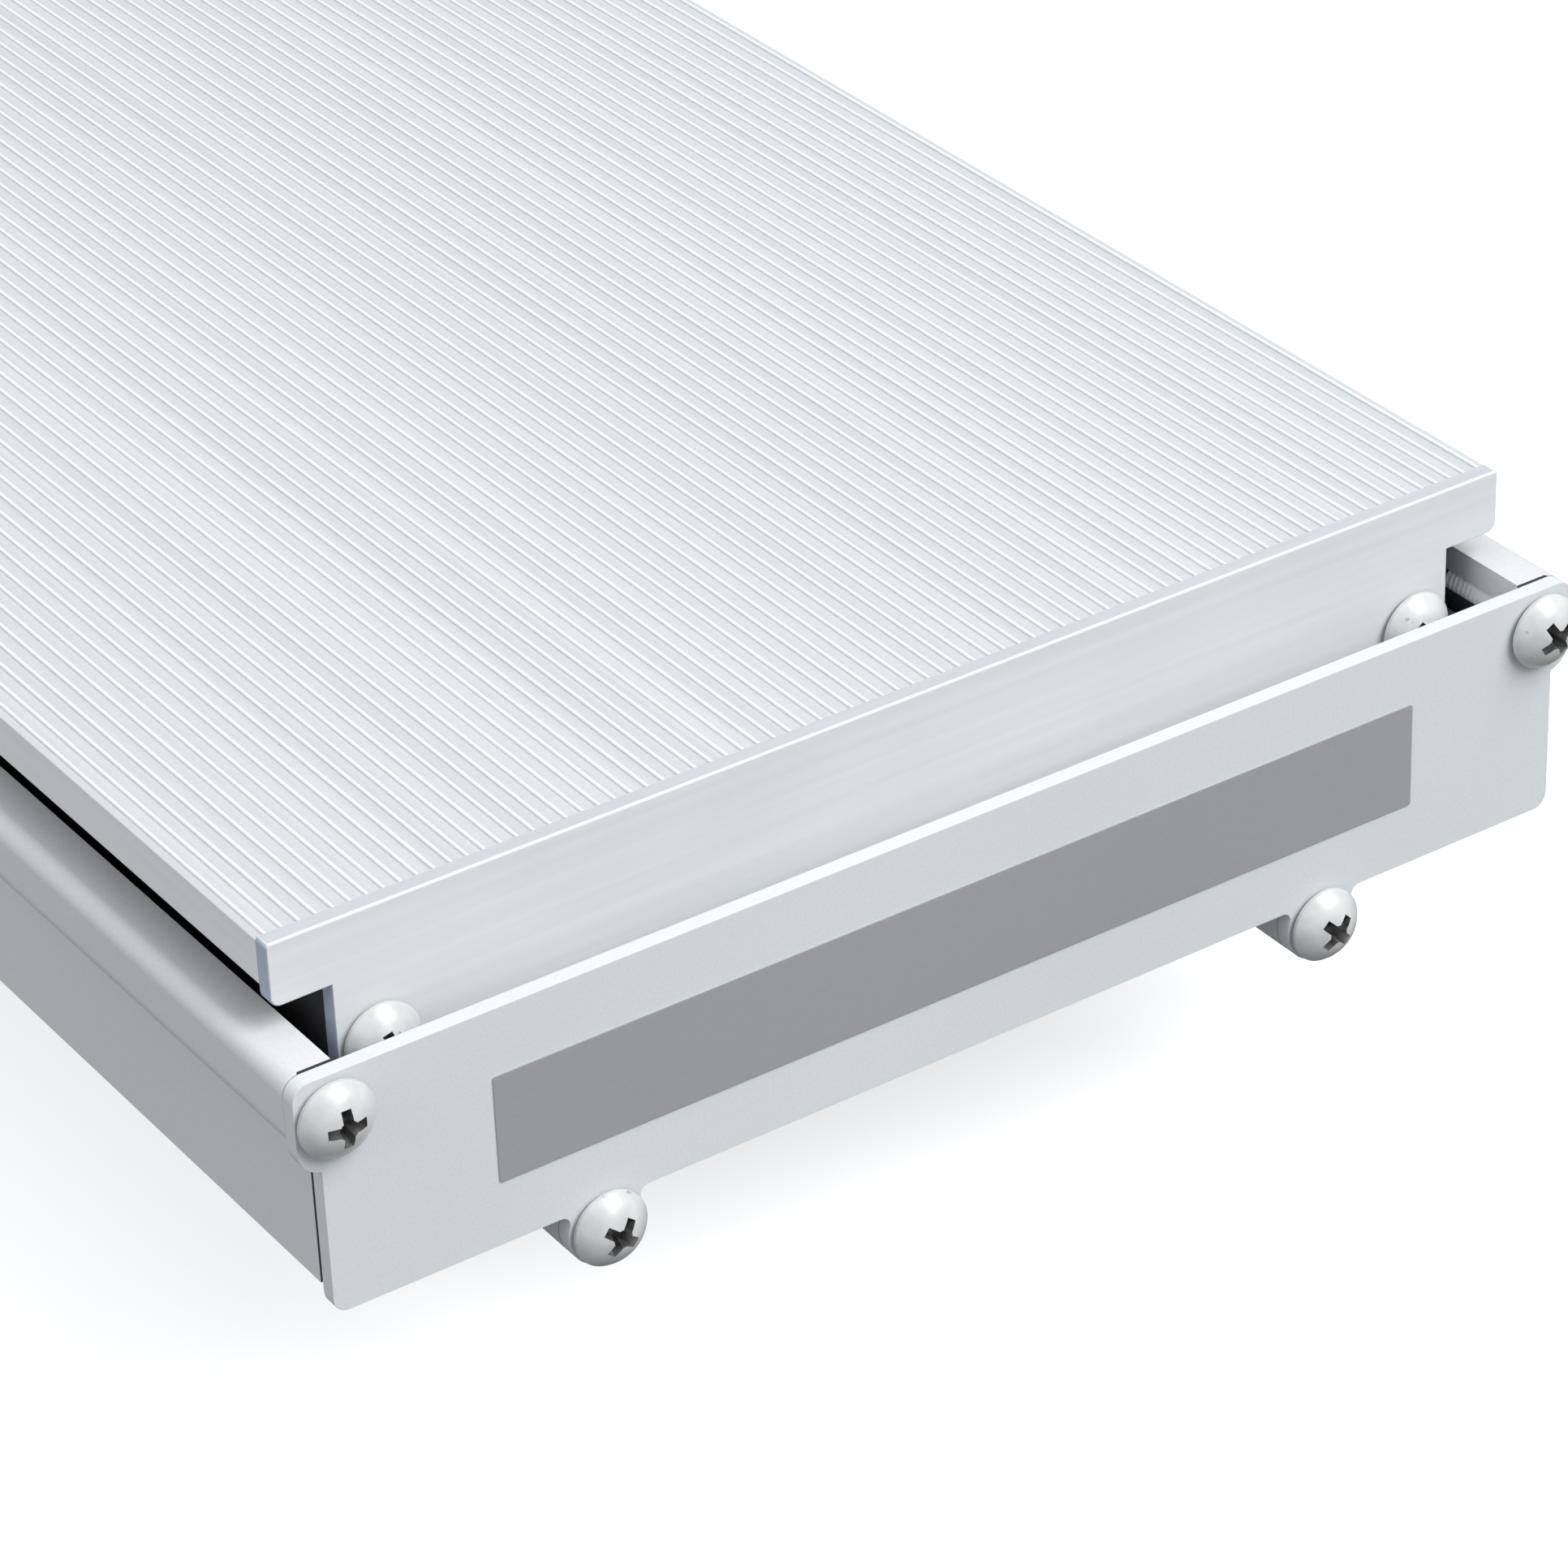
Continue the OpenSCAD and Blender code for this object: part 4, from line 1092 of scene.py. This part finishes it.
for end in ("front", "rear"):
    foot = merged_copy(f"foot_{end}", f"foot_folded_{end}")
    foot_low, foot_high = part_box(f"foot_{end}")
    round_edges(foot, FOOT_CORNER, 6, lambda e: is_plate_corner(e, foot_low, foot_high))
    round_edges(foot, SHEET_ROUND, 2, lambda e: e.calc_length() > SHORTEST_EDGE)
    coat(foot, [bracket_coat])
    smooth(foot)
    dress(foot, "bracket_coat", f"foot_{end}")
    saddle = merged_copy(f"saddle_{end}", f"saddle_folded_{end}")
    round_edges(saddle, SHEET_ROUND, 2, lambda e: e.calc_length() > SHORTEST_EDGE)
    coat(saddle, [bracket_coat])
    smooth(saddle)
    dress(saddle, "bracket_coat", f"saddle_{end}")

# %% Turn hexagons, washers and nuts
CHAMFER_SLOPE = 1.73
CHAMFER_SHARE = 0.95
WASHER_ROUND_SHARE = 0.18
FLATS_SHARE = 0.7
COLLAR_ROOT_SHARE = 0.9
COLLAR_RADIUS_SHARE = 0.44
COLLAR_ROUND_SHARE = 0.12
BOLT_TIP_SHARE = 0.08


def hexagon(name, flat, z_low, z_high):
    """Returns a hexagonal prism whose upper corners are turned off by a cone."""
    corner_r = flat / 2 / cos(pi / 6)
    prism = turned(name, 6, corner_r, corner_r, z_low, z_high)
    top_r = flat / 2 * CHAMFER_SHARE
    cone = turned("cone", 48, top_r + (z_high - z_low) * CHAMFER_SLOPE, top_r, z_low, z_high)
    cut(prism, cone, "INTERSECT")
    prism.name = name
    return prism


def washer(name, radius, bore_r, thickness):
    """Returns a washer: a disc whose two faces are inset, opened and bridged into a bore."""
    ring = turned(name, 48, radius, radius, 0, thickness)
    open_edit(ring, "FACE")
    pick(ring, "faces", lambda f: abs(f.normal.z) > FACING)
    bpy.ops.mesh.inset(thickness=radius - bore_r)
    bpy.ops.mesh.delete(type="FACE")
    bpy.ops.mesh.select_mode(type="EDGE")
    bpy.ops.mesh.select_non_manifold()
    bpy.ops.mesh.bridge_edge_loops()
    bpy.ops.mesh.select_all(action="SELECT")
    bpy.ops.mesh.normals_make_consistent(inside=False)
    close_edit()
    round_edges(ring, thickness * WASHER_ROUND_SHARE, 2,
                lambda e: lies_at(e, 2, 0) or lies_at(e, 2, thickness))
    return ring


def locking_nut(name, flat, height, bore_r):
    """Returns a nut with a turned chamfer and a round collar, its seat at z = 0."""
    collar_z = height * FLATS_SHARE
    nut = hexagon(name, flat, 0, collar_z)
    collar_r = flat * COLLAR_RADIUS_SHARE
    collar = turned("collar", 48, collar_r, collar_r, collar_z * COLLAR_ROOT_SHARE, height)
    round_edges(collar, height * COLLAR_ROUND_SHARE, 3, lambda e: lies_at(e, 2, height))
    cut(nut, collar, "UNION")
    cut(nut, turned("bore", 32, bore_r, bore_r, -height, 2 * height))
    nut.name = name
    return nut


def hex_bolt(name, flat, head_h, shank_d, length, pitch, thread_share):
    """Returns a bolt with its head's seat at z = 0 and its shank below it."""
    bolt = hexagon(name, flat, 0, head_h)
    tip = shank_d * BOLT_TIP_SHARE
    thread_top = -length * (1 - thread_share)
    shank = turned("shank", 32, shank_d / 2, shank_d / 2, thread_top, head_h / 2)
    core_r = shank_d * CORE_SHARE
    core = turned("core", 32, core_r - tip, core_r, -length, thread_top + tip)
    ridge = thread(shank_d / 2, pitch, -length, thread_top)
    return join(bolt, shank, core, ridge)


print("hexagon tools ready")

# %% Fit the pivot bolts, their washers and nuts
PIVOT_D = 8 * MM
PIVOT_FLAT = 13 * MM
PIVOT_HEAD = 5.3 * MM
PIVOT_PITCH = 1.25 * MM
PIVOT_THREAD_SHARE = 0.3
SCREW_PLAY = 0.05 * MM
ALONG = Vector((1, 0, 0))


def middle(node):
    """Returns the middle of a CAD node's box."""
    low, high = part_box(node)
    return (low + high) / 2


def fit(pattern, name, node, places):
    """Copies a pattern to its places, removes it, and dresses the copies in place of a CAD node."""
    if not pattern.data.materials:
        coat(pattern, [zinc])
    made = copies(pattern, name, places)
    bpy.data.objects.remove(pattern)
    smooth(made)
    dress(made, "zinc_fastener", node)


for end in ("front", "rear"):
    bolt_low, bolt_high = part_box(f"pivot_bolt_{end}")
    nut_low, nut_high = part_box(f"pivot_nut_{end}")
    ring_low, ring_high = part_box(f"pivot_washers_{end}")
    saddle_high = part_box(f"saddle_{end}")[1]
    axis = middle(f"pivot_washers_{end}")
    seat = Vector((bolt_high.x - PIVOT_HEAD, axis.y, axis.z))
    thickness = ring_high.x - saddle_high.x

    bolt = hex_bolt("bolt", PIVOT_FLAT, PIVOT_HEAD, PIVOT_D, seat.x - bolt_low.x, PIVOT_PITCH,
                    PIVOT_THREAD_SHARE)
    fit(bolt, f"pivot_bolt_turned_{end}", f"pivot_bolt_{end}", [at_seat(seat, ALONG, 0)])

    nut = locking_nut("nut", PIVOT_FLAT, nut_high.x - nut_low.x, PIVOT_D / 2 + SCREW_PLAY)
    nut_seat = Vector((nut_high.x, axis.y, axis.z))
    fit(nut, f"pivot_nut_turned_{end}", f"pivot_nut_{end}", [at_seat(nut_seat, -ALONG, 0)])

    ring = washer("washer", (ring_high.z - ring_low.z) / 2, PIVOT_D / 2 + SCREW_PLAY, thickness)
    ring_seats = [Vector((x, axis.y, axis.z)) for x in (ring_low.x, saddle_high.x)]
    fit(ring, f"pivot_washers_punched_{end}", f"pivot_washers_{end}",
        [at_seat(point, ALONG, 0) for point in ring_seats])

# %% Fit the clamp screws
CLAMP_D = 6 * MM
CLAMP_FLAT = 10 * MM
CLAMP_HEAD = 4 * MM
CLAMP_PITCH = 1.0 * MM
CLAMP_THREAD_SHARE = 0.95
DOWN = Vector((0, 0, -1))

for end in ("front", "rear"):
    clamp_low, clamp_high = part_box(f"clamp_screws_{end}")
    clamp_x = (clamp_low.x + clamp_high.x) / 2
    clamp_y = clamp_high.y - CLAMP_FLAT / 2
    seat_z = clamp_low.z + CLAMP_HEAD
    clamp = hex_bolt("clamp", CLAMP_FLAT, CLAMP_HEAD, CLAMP_D, clamp_high.z - seat_z, CLAMP_PITCH,
                     CLAMP_THREAD_SHARE)
    fit(clamp, f"clamp_screws_turned_{end}", f"clamp_screws_{end}",
        [at_seat(Vector((clamp_x, side * clamp_y, seat_z)), DOWN, 0) for side in (1, -1)])

# %% [markdown]
# ## Small screws
# The cradles and the terminal block are held by smaller pan-head screws from below and from the sides.
# They are the same screw at another size, bare zinc instead of painted, so the same pattern serves. The
# screws of the terminal block are cut at the size of an end screw and scaled down to their seats, because
# a recess this small doesn't cut cleanly at its own size.

# %% Fit the small screws
SMALL_HEAD_D = 8 * MM
SMALL_HEAD_H = 2.4 * MM
SMALL_SHANK_D = 4 * MM
SMALL_PITCH = 0.7 * MM
SIDE_SCREW_LENGTH = 3.7 * MM
FLOOR_TURN_PER_METRE = radians(700)
FLOOR_TURN_PER_SIDE = radians(20)
SIDE_TURN_PER_METRE = radians(500)
BLOCK_HEAD_D = 5.6 * MM
BLOCK_HEAD_H = 2.2 * MM
BLOCK_SHANK_D = 3 * MM
BLOCK_PITCH = 0.5 * MM
BLOCK_TURN = radians(20)

cradle_places = [middle(f"cradle_{place}").x for place in ("front", "middle", "rear")]

low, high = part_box("cradle_floor_screws")
under = low.z + SMALL_HEAD_H
floor_y = high.y - SMALL_HEAD_D / 2
floor_screw = pan_screw(zinc, SMALL_HEAD_D, SMALL_HEAD_H, SMALL_SHANK_D, high.z - under, SMALL_PITCH)
fit(floor_screw, "cradle_floor_screws_turned", "cradle_floor_screws",
    [at_seat(Vector((x, side * floor_y, under)), DOWN,
             x * FLOOR_TURN_PER_METRE + side * FLOOR_TURN_PER_SIDE)
     for x in cradle_places for side in (1, -1)])

low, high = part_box("cradle_side_screws")
seat_y = high.y - SMALL_HEAD_H
side_screw = pan_screw(zinc, SMALL_HEAD_D, SMALL_HEAD_H, SMALL_SHANK_D, SIDE_SCREW_LENGTH, SMALL_PITCH)
fit(side_screw, "cradle_side_screws_turned", "cradle_side_screws",
    [at_seat(Vector((x, side * seat_y, (low.z + high.z) / 2)), (0, side, 0), x * SIDE_TURN_PER_METRE)
     for x in cradle_places for side in (1, -1)])

low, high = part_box("terminal_block_screws")
under = low.z + BLOCK_HEAD_H
block_y = high.y - BLOCK_HEAD_D / 2
block_share = BLOCK_HEAD_D / HEAD_D
block_screw = pan_screw(zinc, HEAD_D, BLOCK_HEAD_H / block_share, BLOCK_SHANK_D / block_share,
                        (high.z - under) / block_share, BLOCK_PITCH / block_share)
fit(block_screw, "terminal_block_screws_turned", "terminal_block_screws",
    [at_seat(Vector(((low.x + high.x) / 2, side * block_y, under)), DOWN, side * BLOCK_TURN)
     @ Matrix.Scale(block_share, 4) for side in (1, -1)])

# %% [markdown]
# ## Cable gland and earth stud
# The gland is moulded nylon: its hexagons have rounded corners and its mouth a soft lip. These are merged
# copies too, with every sharp edge rounded, since a mould never leaves a sharp one.

# %% Round the gland and the earth parts
MOULD_ROUND = 0.5 * MM
BRASS_ROUND = 0.2 * MM

moulded_parts = {
    "gland_body": (gland_plastic, "gland_plastic", MOULD_ROUND),
    "gland_locknut": (gland_plastic, "gland_plastic", MOULD_ROUND),
    "gland_cap": (gland_plastic, "gland_plastic", MOULD_ROUND),
    "gland_seal": (gland_rubber, "gland_rubber", BRASS_ROUND),
    "earth_stud": (brass, "terminal_brass", BRASS_ROUND),
    "earth_nut": (brass, "terminal_brass", BRASS_ROUND),
}
for node, (finish, slot, width) in moulded_parts.items():
    part = merged_copy(node, node + "_rounded")
    round_edges(part, width, 2, lambda e: True)
    coat(part, [finish])
    smooth(part)
    dress(part, slot, node)

# %% [markdown]
# ## Parts inside
# The heating elements, the insulation and the wiring are already right in shape, and only show when the
# heater is opened. Their CAD nodes stay as they are and only get their finishes.

# %% Give the inner nodes their finishes
inner_finishes = [
    (element_sheath, ["heating_element_left", "heating_element_right"]),
    (retainer, ["element_retainers"]),
    (ceramic, ["element_bushes", "terminal_block"]),
    (nickel, ["terminal_pins"]),
    (brass, ["terminal_nuts", "terminal_barrels", "terminal_clamp_screws"]),
    (fibre_board, ["insulation_board"]),
    (foil, ["reflector_pan"]),
    (stainless, ["cradle_front", "cradle_middle", "cradle_rear"]),
    (brown_sleeve, ["line_lead"]),
    (grey_sleeve, ["link_lead"]),
    (blue_sleeve, ["neutral_lead"]),
    (earth_sleeve, ["earth_lead"]),
]
for finish, names in inner_finishes:
    for name in names:
        nodes[name].data.materials[0] = finish
        print(name, "is finished in", finish.name)
